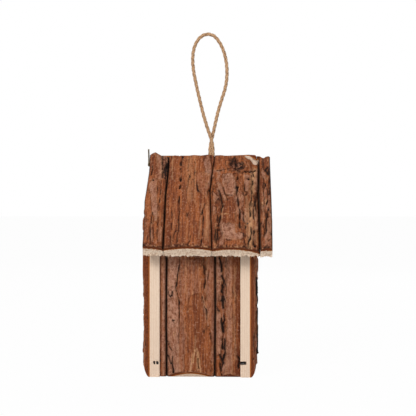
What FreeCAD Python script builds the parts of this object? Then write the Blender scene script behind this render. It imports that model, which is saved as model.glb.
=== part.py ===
import FreeCAD
import Part
import Sketcher
import math
import os

# Hanging birdhouse made of sawn slabs that keep their bark.
# Frame, in millimetres: X along the ridge, from the back gable to the front gable with the entrance.
# Y runs across the house from side a to side b, and Z is up.
# The origin is under the middle of the house without its cord, on the plane it stands on.

# Driving dimensions

SIZES = [
    ("body_length", 112.2, "between the outer sawn arrises of the two gables"),
    ("body_depth", 128.0, "width of a gable, from sawn edge to sawn edge"),
    ("ridge_height", 247.5, "flat of the ridge above the foot"),
    ("ridge_cover", 18.0, "roof wood above the apex of the roof's underside"),
    ("roof_pitch", 50.0, "slope of both roof faces in degrees"),
    ("roof_back_overhang", 4.7, "roof beyond the back gable's arris"),
    ("roof_front_overhang", 22.9, "roof beyond the front gable's arris"),
    ("roof_eave_overhang", 15.6, "roof's underside beyond the gables' sawn edges"),
    ("slab_gap", 0.8, "open joint between neighbouring slabs"),
    ("mitre_gap", 0.3, "open joint between the two roof faces at the ridge"),
    ("gable_thickness", 11.5, "sawn edge of a gable slab"),
    ("gable_foot_bevel", 50.0, "slope of the trimmed bark at a gable's foot in degrees"),
    ("front_slab_2_width", 47.4, "middle front gable slab, with the entrance"),
    ("front_slab_2_offset", -1.5, "middle front gable slab from the house's middle, towards side b"),
    ("front_bark", 4.1, "bark on the sawn edge of the front gable's slabs"),
    ("front_slab_1_crown", 2.0, "rise of the bark between the slab's sides"),
    ("front_slab_2_crown", 2.4, "rise of the bark between the slab's sides"),
    ("front_slab_3_crown", 2.0, "rise of the bark between the slab's sides"),
    ("back_slab_2_width", 47.4, "middle back gable slab"),
    ("back_slab_2_offset", 3.5, "middle back gable slab from the house's middle, towards side b"),
    ("back_bark", 5.0, "bark on the sawn edge of the back gable's slabs"),
    ("back_slab_1_crown", 2.0, "rise of the bark between the slab's sides"),
    ("back_slab_2_crown", 2.1, "rise of the bark between the slab's sides"),
    ("back_slab_3_crown", 2.0, "rise of the bark between the slab's sides"),
    ("wall_thickness", 9.0, "side of a side wall slab, bark and all"),
    ("wall_foot_bevel", 35.0, "slope of the trimmed bark at a side wall's foot in degrees"),
    ("wall_inset", 3.5, "side wall's arris behind the gables' sawn edges"),
    ("side_a_slab_1_width", 7.1, "narrow filler slab at the back of side a"),
    ("side_a_slab_3_width", 27.7, "slab at the front of side a"),
    ("side_a_slab_1_crown", 1.2, "rise of the bark between the slab's sides"),
    ("side_a_slab_2_crown", 6.1, "rise of the bark between the slab's sides"),
    ("side_a_slab_3_crown", 2.6, "rise of the bark between the slab's sides"),
    ("side_b_slab_1_width", 31.0, "slab at the back of side b"),
    ("side_b_slab_3_width", 22.0, "slab at the front of side b"),
    ("side_b_slab_1_crown", 3.2, "rise of the bark between the slab's sides"),
    ("side_b_slab_2_crown", 4.2, "rise of the bark between the slab's sides"),
    ("side_b_slab_3_crown", 2.4, "rise of the bark between the slab's sides"),
    ("roof_thickness", 8.5, "sawn edge of a roof slab, below its bark"),
    ("roof_a_slab_1_width", 21.2, "back slab of roof face a"),
    ("roof_a_slab_2_width", 51.2, "second slab of roof face a"),
    ("roof_a_slab_4_width", 13.3, "front slab of roof face a"),
    ("roof_a_slab_1_back_bark", 7.5, "bark on the slab's back edge"),
    ("roof_a_slab_1_front_bark", 5.3, "bark on the slab's front edge"),
    ("roof_a_slab_1_crown", 0.8, "rise of the bark between the slab's sides"),
    ("roof_a_slab_2_back_bark", 5.3, "bark on the slab's back edge"),
    ("roof_a_slab_2_front_bark", 5.3, "bark on the slab's front edge"),
    ("roof_a_slab_2_crown", 3.9, "rise of the bark between the slab's sides"),
    ("roof_a_slab_3_back_bark", 4.0, "bark on the slab's back edge"),
    ("roof_a_slab_3_front_bark", 0.4, "bark on the slab's front edge"),
    ("roof_a_slab_3_crown", 5.3, "rise of the bark between the slab's sides"),
    ("roof_a_slab_4_back_bark", 6.1, "bark on the slab's back edge"),
    ("roof_a_slab_4_front_bark", 6.5, "bark on the slab's front edge"),
    ("roof_a_slab_4_crown", 0.5, "rise of the bark between the slab's sides"),
    ("roof_b_slab_1_width", 33.6, "back slab of roof face b"),
    ("roof_b_slab_2_width", 45.4, "second slab of roof face b"),
    ("roof_b_slab_4_width", 15.6, "front slab of roof face b"),
    ("roof_b_bark", 2.9, "bark on the sawn edge of roof face b's slabs"),
    ("roof_b_slab_1_crown", 3.2, "rise of the bark between the slab's sides"),
    ("roof_b_slab_2_crown", 6.3, "rise of the bark between the slab's sides"),
    ("roof_b_slab_3_crown", 4.4, "rise of the bark between the slab's sides"),
    ("roof_b_slab_4_crown", 2.1, "rise of the bark between the slab's sides"),
    ("joint_bevel", 2.0, "bark broken away along the joints between slabs and at the roof's ends"),
    ("plate_rise", 1.1, "plates of older bark over the bark round them"),
    ("furrow_width", 2.4, "main furrows in the bark, at their widest"),
    ("furrow_depth", 1.6, "main furrows in the bark"),
    ("entrance_diameter", 32.0, "entrance bored through the front gable"),
    ("entrance_height", 125.0, "centre of the entrance above the foot"),
    ("floor_thickness", 11.0, "floor board"),
    ("floor_height", 9.8, "underside of the floor board above the foot"),
    ("rail_width", 17.0, "eave rail, measured inwards from the side wall"),
    ("rail_height", 26.0, "eave rail at the side wall"),
    ("beam_width", 24.0, "ridge beam"),
    ("beam_height", 24.0, "ridge beam below the apex"),
    ("cord_diameter", 3.7, "twisted jute cord"),
    ("cord_spacing", 4.1, "between the two legs of the cord in the ridge hole"),
    ("cord_offset", 1.7, "ridge hole in front of the roof's middle"),
    ("cord_clearance", 0.4, "between the two legs and the ridge hole"),
    ("loop_clearance", 0.4, "between the rounded ends of the loop and the ridge's flat"),
    ("leg_gap", 0.95, "between the rounded ends of the loop and the legs in the ridge hole"),
    ("cord_wear_width", 11.0, "saddle that the cord wears in the ridge, along the ridge"),
    ("cord_wear_drop", 0.9, "saddle below the ridge's flat"),
    ("cord_wear_slope", 40.0, "fall of the saddle to both sides in degrees"),
    ("knot_diameter", 14.0, "knot below the ridge beam"),
    ("knot_height", 13.0, "knot below the ridge beam"),
    ("knot_round", 4.5, "rounding of the knot"),
    ("knot_tail", 12.0, "cord ends below the knot"),
    ("staple_crown", 5.7, "outside width of a staple"),
    ("staple_leg", 25.0, "length of a staple's legs"),
    ("staple_wire", 1.2, "square wire of a staple"),
    ("staple_sink", 1.2, "crown below the bark it was driven into"),
    ("toe_staple_angle", 20.0, "slant of the staples that pin the gables to the floor in degrees"),
    ("front_toe_inset", 2.9, "toe staple from the front gable's inner face"),
    ("back_toe_inset", 4.6, "toe staple from the back gable's inner face"),
    ("rail_staple_rise", 5.0, "wall staples above the eave rail's underside"),
    ("staple_stagger", 2.6, "between the heights of staples that would cross in one board"),
    ("gable_roof_inset", 6.5, "roof staple from a gable's sawn edge, along Y"),
    ("gable_roof_step", 12.0, "between the two roof staples over one half of a gable, along Y"),
    ("rail_roof_inset", 2.5, "roof staple from the eave rail's outer face, along Y"),
    ("beam_roof_inset", 2.4, "roof staple from the ridge beam's side, along Y"),
    ("edge_staple_inset", 16.0, "staple in the roof's front edge from the eave and from the ridge, along Y"),
    ("brad_diameter", 1.2, "bent brad left standing at the back end of the ridge"),
    ("brad_rise", 7.3, "tip of the bent brad above the ridge"),
    ("brad_foot_drop", 12.0, "bent brad's foot below the ridge"),
    ("brad_setback", 3.0, "bent brad from the ridge line, on side a"),
    ("brad_depth", 7.0, "bent brad's foot inside the roof slab"),
    ("brad_stand_off", 1.6, "upright of the bent brad from the roof's back edge"),
]

# Where the hanging cord runs, as offsets from the middle of the two legs at the pivot, in millimetres.
# The first and last points are the two legs, which stand cord_spacing apart.
CORD_ROUTE = [
    (2.1, -0.2, 5.5), (1.2, -1.8, 11.5), (-0.9, -2.2, 18.5), (-3.9, -1.4, 27.2), (-7.5, -0.4, 38.5),
    (-11.2, 0.2, 52.0), (-14.8, 0.5, 67.0), (-18.4, 0.6, 83.0), (-21.3, 0.5, 98.0), (-22.2, 0.3, 111.5),
    (-20.8, 0.1, 122.6), (-17.2, -0.1, 131.0), (-12.2, -0.2, 137.0), (-4.8, -0.2, 139.9), (2.9, 0.0, 137.9),
    (8.4, 0.2, 131.5), (12.9, 0.3, 123.4), (16.4, 0.4, 112.6), (18.2, 0.4, 100.0), (18.0, 0.3, 87.0),
    (15.8, 0.2, 74.5), (11.5, 0.1, 62.0), (7.8, 0.2, 49.5), (5.0, 0.5, 38.0), (2.7, 1.4, 27.2),
    (0.5, 2.2, 18.5), (-1.3, 1.8, 11.5), (-2.1, 0.2, 5.5),
]
ARC_SHARE = 0.45  # of the shorter run beside a point of the route, taken up by its arc

# The main forms of the bark, as shares of a slab's width, from its back or from side a,
# and of its length, from its foot.
# Plates of older bark stand over the rest, by their outlines.
PLATES = {
    "roof_a_slab_1": [
        [(0.13, 0.65), (0.18, 0.52), (0.36, 0.30), (0.60, 0.23), (0.62, 0.41), (0.50, 0.66)],
        [(0.65, 0.93), (0.98, 0.93), (0.96, 0.66), (0.77, 0.73)],
    ],
    "roof_a_slab_3": [
        [(0.21, 0.72), (0.42, 0.73), (0.51, 0.62), (0.49, 0.49), (0.29, 0.51), (0.19, 0.63)],
        [(0.19, 0.21), (0.52, 0.22), (0.50, 0.14), (0.66, 0.13), (0.66, 0.09), (0.24, 0.07)],
        [(0.67, 0.73), (0.85, 0.73), (0.78, 0.57), (0.71, 0.55)],
    ],
    "roof_a_slab_4": [[(0.20, 0.78), (0.35, 0.78), (0.74, 0.67), (0.58, 0.64), (0.24, 0.71)]],
    "roof_b_slab_1": [
        [(0.14, 0.63), (0.35, 0.66), (0.41, 0.48), (0.32, 0.36), (0.17, 0.41)],
        [(0.56, 0.83), (0.82, 0.81), (0.79, 0.62), (0.65, 0.57), (0.53, 0.68)],
        [(0.41, 0.27), (0.68, 0.30), (0.74, 0.12), (0.50, 0.08)],
    ],
    "roof_b_slab_2": [[(0.73, 0.36), (0.89, 0.38), (0.92, 0.14), (0.78, 0.10)]],
    "roof_b_slab_3": [[(0.42, 0.53), (0.63, 0.56), (0.66, 0.27), (0.49, 0.23)]],
    "roof_b_slab_4": [[(0.16, 0.68), (0.61, 0.71), (0.74, 0.49), (0.29, 0.45)]],
    "side_a_slab_2": [
        [(0.03, 0.70), (0.28, 0.70), (0.24, 0.43), (0.32, 0.33), (0.25, 0.24), (0.31, 0.01), (0.03, 0.01)],
    ],
    "side_b_slab_1": [[(0.11, 0.48), (0.34, 0.49), (0.40, 0.34), (0.18, 0.32)]],
    "side_b_slab_2": [[(0.71, 0.24), (0.92, 0.26), (0.89, 0.11), (0.74, 0.09)]],
    "side_b_slab_3": [[(0.60, 0.39), (0.88, 0.40), (0.83, 0.20), (0.65, 0.19)]],
    "front_slab_1": [[(0.42, 0.53), (0.60, 0.56), (0.60, 0.37), (0.47, 0.34)]],
    "front_slab_2": [[(0.36, 0.79), (0.62, 0.81), (0.64, 0.66), (0.43, 0.64)]],
    "front_slab_3": [[(0.44, 0.39), (0.61, 0.40), (0.58, 0.20), (0.46, 0.18)]],
    "back_slab_1": [[(0.51, 0.61), (0.74, 0.63), (0.77, 0.39), (0.58, 0.36)]],
    "back_slab_3": [[(0.58, 0.48), (0.81, 0.51), (0.78, 0.32), (0.61, 0.28)]],
}
# Furrows run along broken lines and close towards both ends.
FURROWS = {
    "roof_a_slab_1": [
        [(0.69, 0.66), (0.73, 0.48), (0.76, 0.30), (0.70, 0.21)],
        [(0.41, 0.33), (0.34, 0.19), (0.41, 0.03)],
    ],
    "roof_a_slab_2": [
        [(0.32, 0.90), (0.30, 0.76), (0.29, 0.58), (0.31, 0.28), (0.30, 0.04)],
        [(0.87, 0.42), (0.82, 0.34), (0.84, 0.20), (0.79, 0.02)],
    ],
    "roof_a_slab_3": [
        [(0.55, 0.73), (0.56, 0.63), (0.54, 0.49), (0.59, 0.34), (0.59, 0.18)],
        [(0.14, 0.55), (0.23, 0.40), (0.17, 0.28), (0.15, 0.17)],
        [(0.90, 0.76), (0.85, 0.49), (0.80, 0.40), (0.84, 0.15), (0.75, 0.02)],
    ],
    "roof_a_slab_4": [[(0.47, 0.63), (0.36, 0.49), (0.68, 0.34), (0.48, 0.19), (0.29, 0.09)]],
    "roof_b_slab_1": [
        [(0.47, 0.89), (0.50, 0.67), (0.45, 0.45), (0.56, 0.27), (0.35, 0.05)],
        [(0.76, 0.55), (0.87, 0.36), (0.82, 0.15)],
        [(0.08, 0.49), (0.10, 0.31), (0.07, 0.11)],
    ],
    "roof_b_slab_2": [
        [(0.47, 0.88), (0.49, 0.71), (0.46, 0.57)],
        [(0.45, 0.33), (0.49, 0.18), (0.47, 0.03)],
        [(0.16, 0.68), (0.18, 0.42), (0.14, 0.21)],
    ],
    "roof_b_slab_3": [
        [(0.28, 0.90), (0.26, 0.66), (0.31, 0.41), (0.28, 0.21), (0.32, 0.03)],
        [(0.73, 0.75), (0.76, 0.52), (0.70, 0.30)],
    ],
    "roof_b_slab_4": [[(0.42, 0.90), (0.29, 0.71), (0.48, 0.40), (0.35, 0.15)]],
    "side_a_slab_3": [
        [(0.16, 0.53), (0.32, 0.43), (0.27, 0.38), (0.37, 0.26), (0.30, 0.23), (0.41, 0.11), (0.27, 0.03)],
    ],
    "side_b_slab_1": [[(0.53, 0.53), (0.48, 0.37), (0.56, 0.19), (0.53, 0.03)]],
    "side_b_slab_2": [
        [(0.48, 0.53), (0.51, 0.44), (0.45, 0.37)],
        [(0.47, 0.25), (0.51, 0.14), (0.45, 0.02)],
    ],
    "side_b_slab_3": [[(0.42, 0.56), (0.49, 0.39), (0.40, 0.21), (0.47, 0.02)]],
    "front_slab_1": [
        [(0.32, 0.65), (0.36, 0.44), (0.29, 0.24), (0.34, 0.05)],
        [(0.68, 0.72), (0.74, 0.49), (0.66, 0.28), (0.71, 0.08)],
    ],
    "front_slab_2": [
        [(0.17, 0.79), (0.10, 0.51), (0.15, 0.24), (0.17, 0.04)],
        [(0.76, 0.77), (0.79, 0.69), (0.81, 0.61)],
        [(0.70, 0.42), (0.74, 0.24), (0.71, 0.06)],
    ],
    "front_slab_3": [
        [(0.32, 0.69), (0.28, 0.48), (0.34, 0.27), (0.29, 0.05)],
        [(0.71, 0.63), (0.74, 0.42), (0.68, 0.22)],
    ],
    "back_slab_1": [
        [(0.33, 0.65), (0.29, 0.44), (0.35, 0.23), (0.30, 0.04)],
        [(0.81, 0.73), (0.84, 0.52), (0.79, 0.29), (0.84, 0.08)],
    ],
    "back_slab_2": [
        [(0.51, 0.85), (0.54, 0.73), (0.50, 0.64)],
        [(0.49, 0.48), (0.53, 0.28), (0.50, 0.07)],
        [(0.19, 0.69), (0.16, 0.44), (0.21, 0.20)],
    ],
    "back_slab_3": [[(0.47, 0.65), (0.51, 0.44), (0.44, 0.23), (0.50, 0.04)]],
}
# Knots are a sunken stub in a raised collar: the middle, and the stub's reach across and along the slab.
KNOTS = {
    "roof_a_slab_3": ((0.545, 0.82), (0.143, 0.038)),
    "roof_b_slab_2": ((0.47, 0.45), (0.154, 0.055)),
    "side_b_slab_2": ((0.48, 0.315), (0.150, 0.026)),
    "front_slab_2": ((0.405, 0.218), (0.105, 0.024)),
    "back_slab_2": ((0.51, 0.558), (0.137, 0.030)),
}
COLLAR = 1.75  # of a knot's stub, taken up by its collar

# Places worked out from the sizes, as expressions on the sheet

HALF_DEPTH = "(Sizes.body_depth / 2)"
APEX_HEIGHT = "(Sizes.ridge_height - Sizes.ridge_cover)"
BACK_REACH = "max(Sizes.back_bark + Sizes.back_slab_2_crown + Sizes.plate_rise; Sizes.roof_back_overhang)"
OVERALL_LENGTH = f"({BACK_REACH} + Sizes.body_length + Sizes.roof_front_overhang)"
BACK_ARRIS_X = f"({BACK_REACH} - {OVERALL_LENGTH} / 2)"
FRONT_ARRIS_X = f"({BACK_ARRIS_X} + Sizes.body_length)"
BACK_INNER_X = f"({BACK_ARRIS_X} + Sizes.gable_thickness)"
FRONT_INNER_X = f"({FRONT_ARRIS_X} - Sizes.gable_thickness)"
INNER_LENGTH = "(Sizes.body_length - 2 * Sizes.gable_thickness)"
ROOF_LENGTH = "(Sizes.roof_back_overhang + Sizes.body_length + Sizes.roof_front_overhang)"
ROOF_BACK_X = f"({BACK_ARRIS_X} - Sizes.roof_back_overhang)"
ROOF_FRONT_X = f"({FRONT_ARRIS_X} + Sizes.roof_front_overhang)"
CORD_X = f"({ROOF_BACK_X} + {ROOF_LENGTH} / 2 + Sizes.cord_offset)"
CORD_HOLE_RADIUS = "(Sizes.cord_spacing / 2 + Sizes.cord_diameter / 2 + Sizes.cord_clearance)"
PIVOT_HEIGHT = "(Sizes.ridge_height + Sizes.cord_diameter / 2 + Sizes.loop_clearance)"

WALL_ARRIS_Y = f"({HALF_DEPTH} - Sizes.wall_inset)"
WALL_INNER_Y = f"({WALL_ARRIS_Y} - Sizes.wall_thickness)"
FLOOR_MIDDLE = "(Sizes.floor_height + Sizes.floor_thickness / 2)"
ROOF_RUN = f"({HALF_DEPTH} + Sizes.roof_eave_overhang)"
EAVE_HEIGHT = f"({APEX_HEIGHT} - {ROOF_RUN} * tan(Sizes.roof_pitch))"
RIDGE_RISE = "(Sizes.ridge_cover * sin(Sizes.roof_pitch))"
SLOPE_LENGTH = f"({ROOF_RUN} / cos(Sizes.roof_pitch) + {RIDGE_RISE} + Sizes.roof_thickness)"
RAIL_TOP = f"({APEX_HEIGHT} - {WALL_INNER_Y} * tan(Sizes.roof_pitch))"
RAIL_BOTTOM = f"({RAIL_TOP} - Sizes.rail_height)"
RAIL_BLANK_HEIGHT = "(Sizes.rail_height + Sizes.rail_width * tan(Sizes.roof_pitch))"
BEAM_BOTTOM = f"({APEX_HEIGHT} - Sizes.beam_height)"
REACH = f"(Sizes.ridge_height + Sizes.body_depth + {ROOF_LENGTH})"  # longer than what any tool cuts

# The four walls: the direction along their slabs' widths, the outward direction of the bark,
# the sawn edge of a slab and the place of its inner face.
WALLS = {
    "side_a": ((1, 0), (0, -1), "Sizes.wall_thickness", f"-{WALL_INNER_Y}"),
    "side_b": ((1, 0), (0, 1), "Sizes.wall_thickness", WALL_INNER_Y),
    "front": ((0, 1), (1, 0), "Sizes.gable_thickness", FRONT_INNER_X),
    "back": ((0, 1), (-1, 0), "Sizes.gable_thickness", BACK_INNER_X),
}

doc = FreeCAD.newDocument("birdhouse")
sheet = doc.addObject("Spreadsheet::Sheet", "Sizes")
nodes = []


def fill_sheet():
    """Writes each driving dimension into a cell that carries its name."""
    for row, (alias, size, note) in enumerate(SIZES, start=1):
        sheet.set(f"A{row}", alias)
        sheet.set(f"B{row}", str(size))
        sheet.set(f"C{row}", note)
        sheet.setAlias(f"B{row}", alias)
    doc.recompute()


def value(expression):
    """What an expression on the sheet comes to, in millimetres or degrees."""
    answer = sheet.evalExpression(expression)
    return float(getattr(answer, "Value", answer))


def bind(thing, **expressions):
    """Ties sizes and places of a document object to the sheet."""
    paths = {"x": "Placement.Base.x", "y": "Placement.Base.y", "z": "Placement.Base.z"}
    for name, expression in expressions.items():
        thing.setExpression(paths.get(name, name), expression)
    return thing


def tilt(thing, axis, angle):
    """Turns an object about an axis by an angle from the sheet."""
    thing.Placement = FreeCAD.Placement(FreeCAD.Vector(), FreeCAD.Rotation(axis, value(angle)))
    thing.setExpression("Placement.Rotation.Angle", angle)
    return thing


def box(name, length, width, height, **place):
    return bind(doc.addObject("Part::Box", name), Length=length, Width=width, Height=height, **place)


def cylinder(name, radius, height, **place):
    return bind(doc.addObject("Part::Cylinder", name), Radius=radius, Height=height, **place)


def fuse(name, shapes):
    joined = doc.addObject("Part::MultiFuse", name)
    joined.Shapes = shapes
    return joined


def cut(name, base, tool):
    trimmed = doc.addObject("Part::Cut", name)
    trimmed.Base = base
    trimmed.Tool = tool
    return trimmed


def keep(thing, label):
    """Lists an object as one of the pieces that the house is made of."""
    thing.Label = label
    nodes.append(thing)
    return thing


# Slabs

def slab_row(name, count, filler, length, start):
    """Label, start and width of each slab of a row, where the filler takes what the others leave."""
    labels = [f"{name}_slab_{number}" for number in range(1, count + 1)]
    widths = {label: f"Sizes.{label}_width" for label in labels}
    del widths[labels[filler - 1]]
    rest = " - ".join([length, *widths.values(), f"{count - 1} * Sizes.slab_gap"])
    row = []
    for label in labels:
        width = widths.get(label, f"({rest})")
        row.append((label, start, width))
        start = f"({start} + {width} + Sizes.slab_gap)"
    return row


def gable_row(facing):
    """The three slabs of a gable, of which the outer two fill what the middle one leaves."""
    middle = f"{facing}_slab_2"
    width = f"Sizes.{middle}_width"
    start = f"(Sizes.{middle}_offset - {width} / 2)"
    after = f"({start} + {width} + Sizes.slab_gap)"
    return [
        (f"{facing}_slab_1", f"-{HALF_DEPTH}", f"({HALF_DEPTH} + {start} - Sizes.slab_gap)"),
        (middle, start, width),
        (f"{facing}_slab_3", after, f"({HALF_DEPTH} - {after})"),
    ]


def wall_row(facing):
    """The three slabs of a wall, of which the middle one fills a side wall."""
    if facing.startswith("side"):
        return slab_row(facing, 3, 2, INNER_LENGTH, BACK_INNER_X)
    return gable_row(facing)


def roof_row(face):
    """The four slabs of a roof face from back to front, of which the third fills."""
    return slab_row(f"roof_{face}", 4, 3, ROOF_LENGTH, ROOF_BACK_X)


def slab_middle(slab):
    """The middle of a slab's width, along its row."""
    _, start, width = slab
    return value(f"{start} + {width} / 2")


def slab_sides(label, thickness):
    """How thick a slab is at both sides, with its bark."""
    row = label.split("_slab_")[0]
    if row == "roof_a":
        return tuple(f"({thickness} + Sizes.{label}_{side}_bark)" for side in ("back", "front"))
    if row in ("roof_b", "front", "back"):
        return (f"({thickness} + Sizes.{row}_bark)",) * 2
    return thickness, thickness


def log_radius(label, width, thickness):
    """The bark's radius, from the line between a slab's sides and the rise of its bark over that line."""
    first, last = slab_sides(label, thickness)
    crown = f"Sizes.{label}_crown"
    return f"((({width} ^ 2 + ({last} - {first}) ^ 2) / 4 + {crown} ^ 2) / (2 * {crown}))"


def log_middle(label, width, thickness):
    """The middle of the bark's circle, across a slab's width and out from its inner face."""
    wide = value(width)
    first, last = (value(side) for side in slab_sides(label, thickness))
    below = value(f"{log_radius(label, width, thickness)} - Sizes.{label}_crown")
    sunk = below / math.hypot(wide, last - first)
    return wide / 2 + sunk * (last - first), (first + last) / 2 - sunk * wide


def bark_height(label, width, thickness, off_middle=0.0):
    """The bark above a slab's inner face, at a distance from the middle of its width."""
    radius = value(log_radius(label, width, thickness))
    across, out = log_middle(label, width, thickness)
    return out + math.sqrt(radius ** 2 - (value(width) / 2 + off_middle - across) ** 2)


def slab_section(sketch, label, facing, width, thickness, lift):
    """A slab's end: a flat inner face, two sides and an arc of bark, lifted by some way."""
    along, out = (FreeCAD.Vector(*direction, 0) for direction in WALLS[facing][:2])
    sides = [f"({side} + {lift})" for side in slab_sides(label, thickness)]
    wide, first, last = value(width), value(sides[0]), value(sides[1])
    round_ = value(log_radius(label, width, thickness))
    across, up = log_middle(label, width, thickness)
    corners = [FreeCAD.Vector(), along * wide, along * wide + out * last, out * first]
    centre = along * across + out * (up + value(lift))
    counterclockwise = along.cross(out).z > 0
    start, end = (corners[2], corners[3]) if counterclockwise else (corners[3], corners[2])
    angles = [math.atan2(p.y - centre.y, p.x - centre.x) for p in (start, end)]
    circle = Part.Circle(centre, FreeCAD.Vector(0, 0, 1), round_)
    sketch.addGeometry([
        Part.LineSegment(corners[0], corners[1]),
        Part.LineSegment(corners[1], corners[2]),
        Part.ArcOfCircle(circle, *angles),
        Part.LineSegment(corners[3], corners[0]),
    ])
    before, after = (1, 2) if counterclockwise else (2, 1)
    flat, square = ("Horizontal", "Vertical") if along.x else ("Vertical", "Horizontal")
    sketch.addConstraint([
        Sketcher.Constraint("Coincident", 0, 1, -1, 1),
        Sketcher.Constraint("Coincident", 0, 2, 1, 1),
        Sketcher.Constraint("Coincident", 1, 2, 2, before),
        Sketcher.Constraint("Coincident", 2, after, 3, 1),
        Sketcher.Constraint("Coincident", 3, 2, 0, 1),
        Sketcher.Constraint(flat, 0),
        Sketcher.Constraint(square, 1),
        Sketcher.Constraint(square, 3),
    ])
    for name, kind, edge, expression in (
        ("width", "Distance", 0, width),
        ("last_side", "Distance", 1, sides[1]),
        ("log_radius", "Radius", 2, log_radius(label, width, thickness)),
        ("first_side", "Distance", 3, sides[0]),
    ):
        index = sketch.addConstraint(Sketcher.Constraint(kind, edge, value(expression)))
        sketch.renameConstraint(index, name)
        sketch.setExpression(f"Constraints.{name}", expression)
    return corners[3], corners[2]


def slab_blank(name, label, facing, width, thickness, length, joints, lift="0"):
    """A slab before it is trimmed, on its foot at the origin, its bark broken away along its joints."""
    body = doc.addObject("PartDesign::Body", f"{name}_blank")
    sketch = body.newObject("Sketcher::SketchObject", f"{name}_section")
    plane = next(f for f in body.Origin.OriginFeatures if f.Role == "XY_Plane")
    sketch.AttachmentSupport = (plane, [""])
    sketch.MapMode = "FlatFace"
    arrises = slab_section(sketch, label, facing, width, thickness, lift)
    pad = body.newObject("PartDesign::Pad", f"{name}_pad")
    pad.Profile = sketch
    pad.setExpression("Length", length)
    doc.recompute()
    broken = [arris for arris, joint in zip(arrises, joints) if joint]

    def stands_on(edge, arris):
        """Whether an edge of the blank runs up from an arris of its foot."""
        return all(math.hypot(v.X - arris.x, v.Y - arris.y) < 0.001 for v in edge.Vertexes)

    bevel = body.newObject("PartDesign::Chamfer", f"{name}_bevel")
    bevel.Base = (pad, [
        f"Edge{number}" for number, edge in enumerate(pad.Shape.Edges, start=1)
        if any(stands_on(edge, arris) for arris in broken)
    ])
    bevel.setExpression("Size", "Sizes.joint_bevel")
    return body


def knot_outline(label, reach):
    """Eight points round a knot, at a share of its stub's reach."""
    (across, along), (wide, tall) = KNOTS[label]
    turns = [math.radians(45 * eighth) for eighth in range(8)]
    return [(across + reach * wide * math.cos(t), along + reach * tall * math.sin(t)) for t in turns]


def furrow_outline(line, width):
    """The outline of a furrow, which is widest at the inner points of its line."""
    half = value(f"Sizes.furrow_width / 2 / ({width})")
    return [
        line[0], *((across - half, along) for across, along in line[1:-1]),
        line[-1], *((across + half, along) for across, along in reversed(line[1:-1])),
    ]


def form_blocks(name, outlines, facing, width, thickness, length):
    """Upright blocks over outlines on a slab's bark, from the middle of its wood to past its bark."""
    along, out = (FreeCAD.Vector(*direction, 0) for direction in WALLS[facing][:2])
    wide, tall, thick = value(width), value(length), value(thickness)
    blocks = []
    for outline in outlines:
        points = [along * (wide * a) + FreeCAD.Vector(0, 0, tall * b) + out * (thick / 2) for a, b in outline]
        blocks.append(Part.Face(Part.makePolygon([*points, points[0]])).extrude(out * (3 * thick)))
    group = doc.addObject("Part::Feature", name)
    group.Shape = Part.makeCompound(blocks)
    return group


def common(name, shapes):
    shared = doc.addObject("Part::MultiCommon", name)
    shared.Shapes = shapes
    return shared


def barked_slab(label, facing, width, thickness, length, joints):
    """A slab before it is trimmed, with the main plates, furrows and knots of its bark."""
    size = (label, facing, width, thickness, length, joints)
    slab = slab_blank(label, *size)
    raised = list(PLATES.get(label, []))
    sunk = [furrow_outline(line, width) for line in FURROWS.get(label, [])]
    if label in KNOTS:
        raised.append(knot_outline(label, COLLAR))
        sunk.append(knot_outline(label, 1.0))
    if raised:
        blocks = form_blocks(f"{label}_plate_blocks", raised, facing, width, thickness, length)
        over = slab_blank(f"{label}_plate", *size, lift="Sizes.plate_rise")
        slab = fuse(f"{label}_plated", [slab, common(f"{label}_plates", [over, blocks])])
    if sunk:
        blocks = form_blocks(f"{label}_furrow_blocks", sunk, facing, width, thickness, length)
        under = slab_blank(f"{label}_furrow", *size, lift="-Sizes.furrow_depth")
        slab = cut(f"{label}_furrowed", slab, cut(f"{label}_furrows", blocks, under))
    return slab


def above_slopes(name, slope, height, length, start):
    """The space above each of two slopes that fall to both sides from a line along the house."""
    across = FreeCAD.Vector(1, 0, 0)
    rise = f"{REACH} * sin({slope})"
    faces = []
    for side, sign, far_end in (("a", "", "-"), ("b", "-", "+")):
        face = box(f"{name}_{side}", length, f"2 * {REACH}", REACH)
        tilt(face, across, f"{sign}{slope}")
        bind(face, x=start, y=f"-{REACH} * cos({slope})", z=f"{height} {far_end} {rise}")
        faces.append(face)
    return faces


def foot_bevels():
    """The wedge below each wall's foot that trims its bark back towards the sawn arris."""
    across, along = FreeCAD.Vector(1, 0, 0), FreeCAD.Vector(0, 1, 0)
    wall, gable = "Sizes.wall_foot_bevel", "Sizes.gable_foot_bevel"
    return {
        "side_a": bind(
            tilt(box("bevel_side_a", f"2 * {REACH}", REACH, REACH), across, f"180 - {wall}"),
            x=f"-{REACH}", y=f"-{WALL_ARRIS_Y}"),
        "side_b": bind(
            tilt(box("bevel_side_b", f"2 * {REACH}", REACH, REACH), across, f"{wall} - 90"),
            x=f"-{REACH}", y=WALL_ARRIS_Y),
        "front": bind(
            tilt(box("bevel_front", REACH, f"2 * {REACH}", REACH), along, f"90 - {gable}"),
            x=FRONT_ARRIS_X, y=f"-{REACH}"),
        "back": bind(
            tilt(box("bevel_back", REACH, f"2 * {REACH}", REACH), along, f"180 + {gable}"),
            x=BACK_ARRIS_X, y=f"-{REACH}"),
    }


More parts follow.
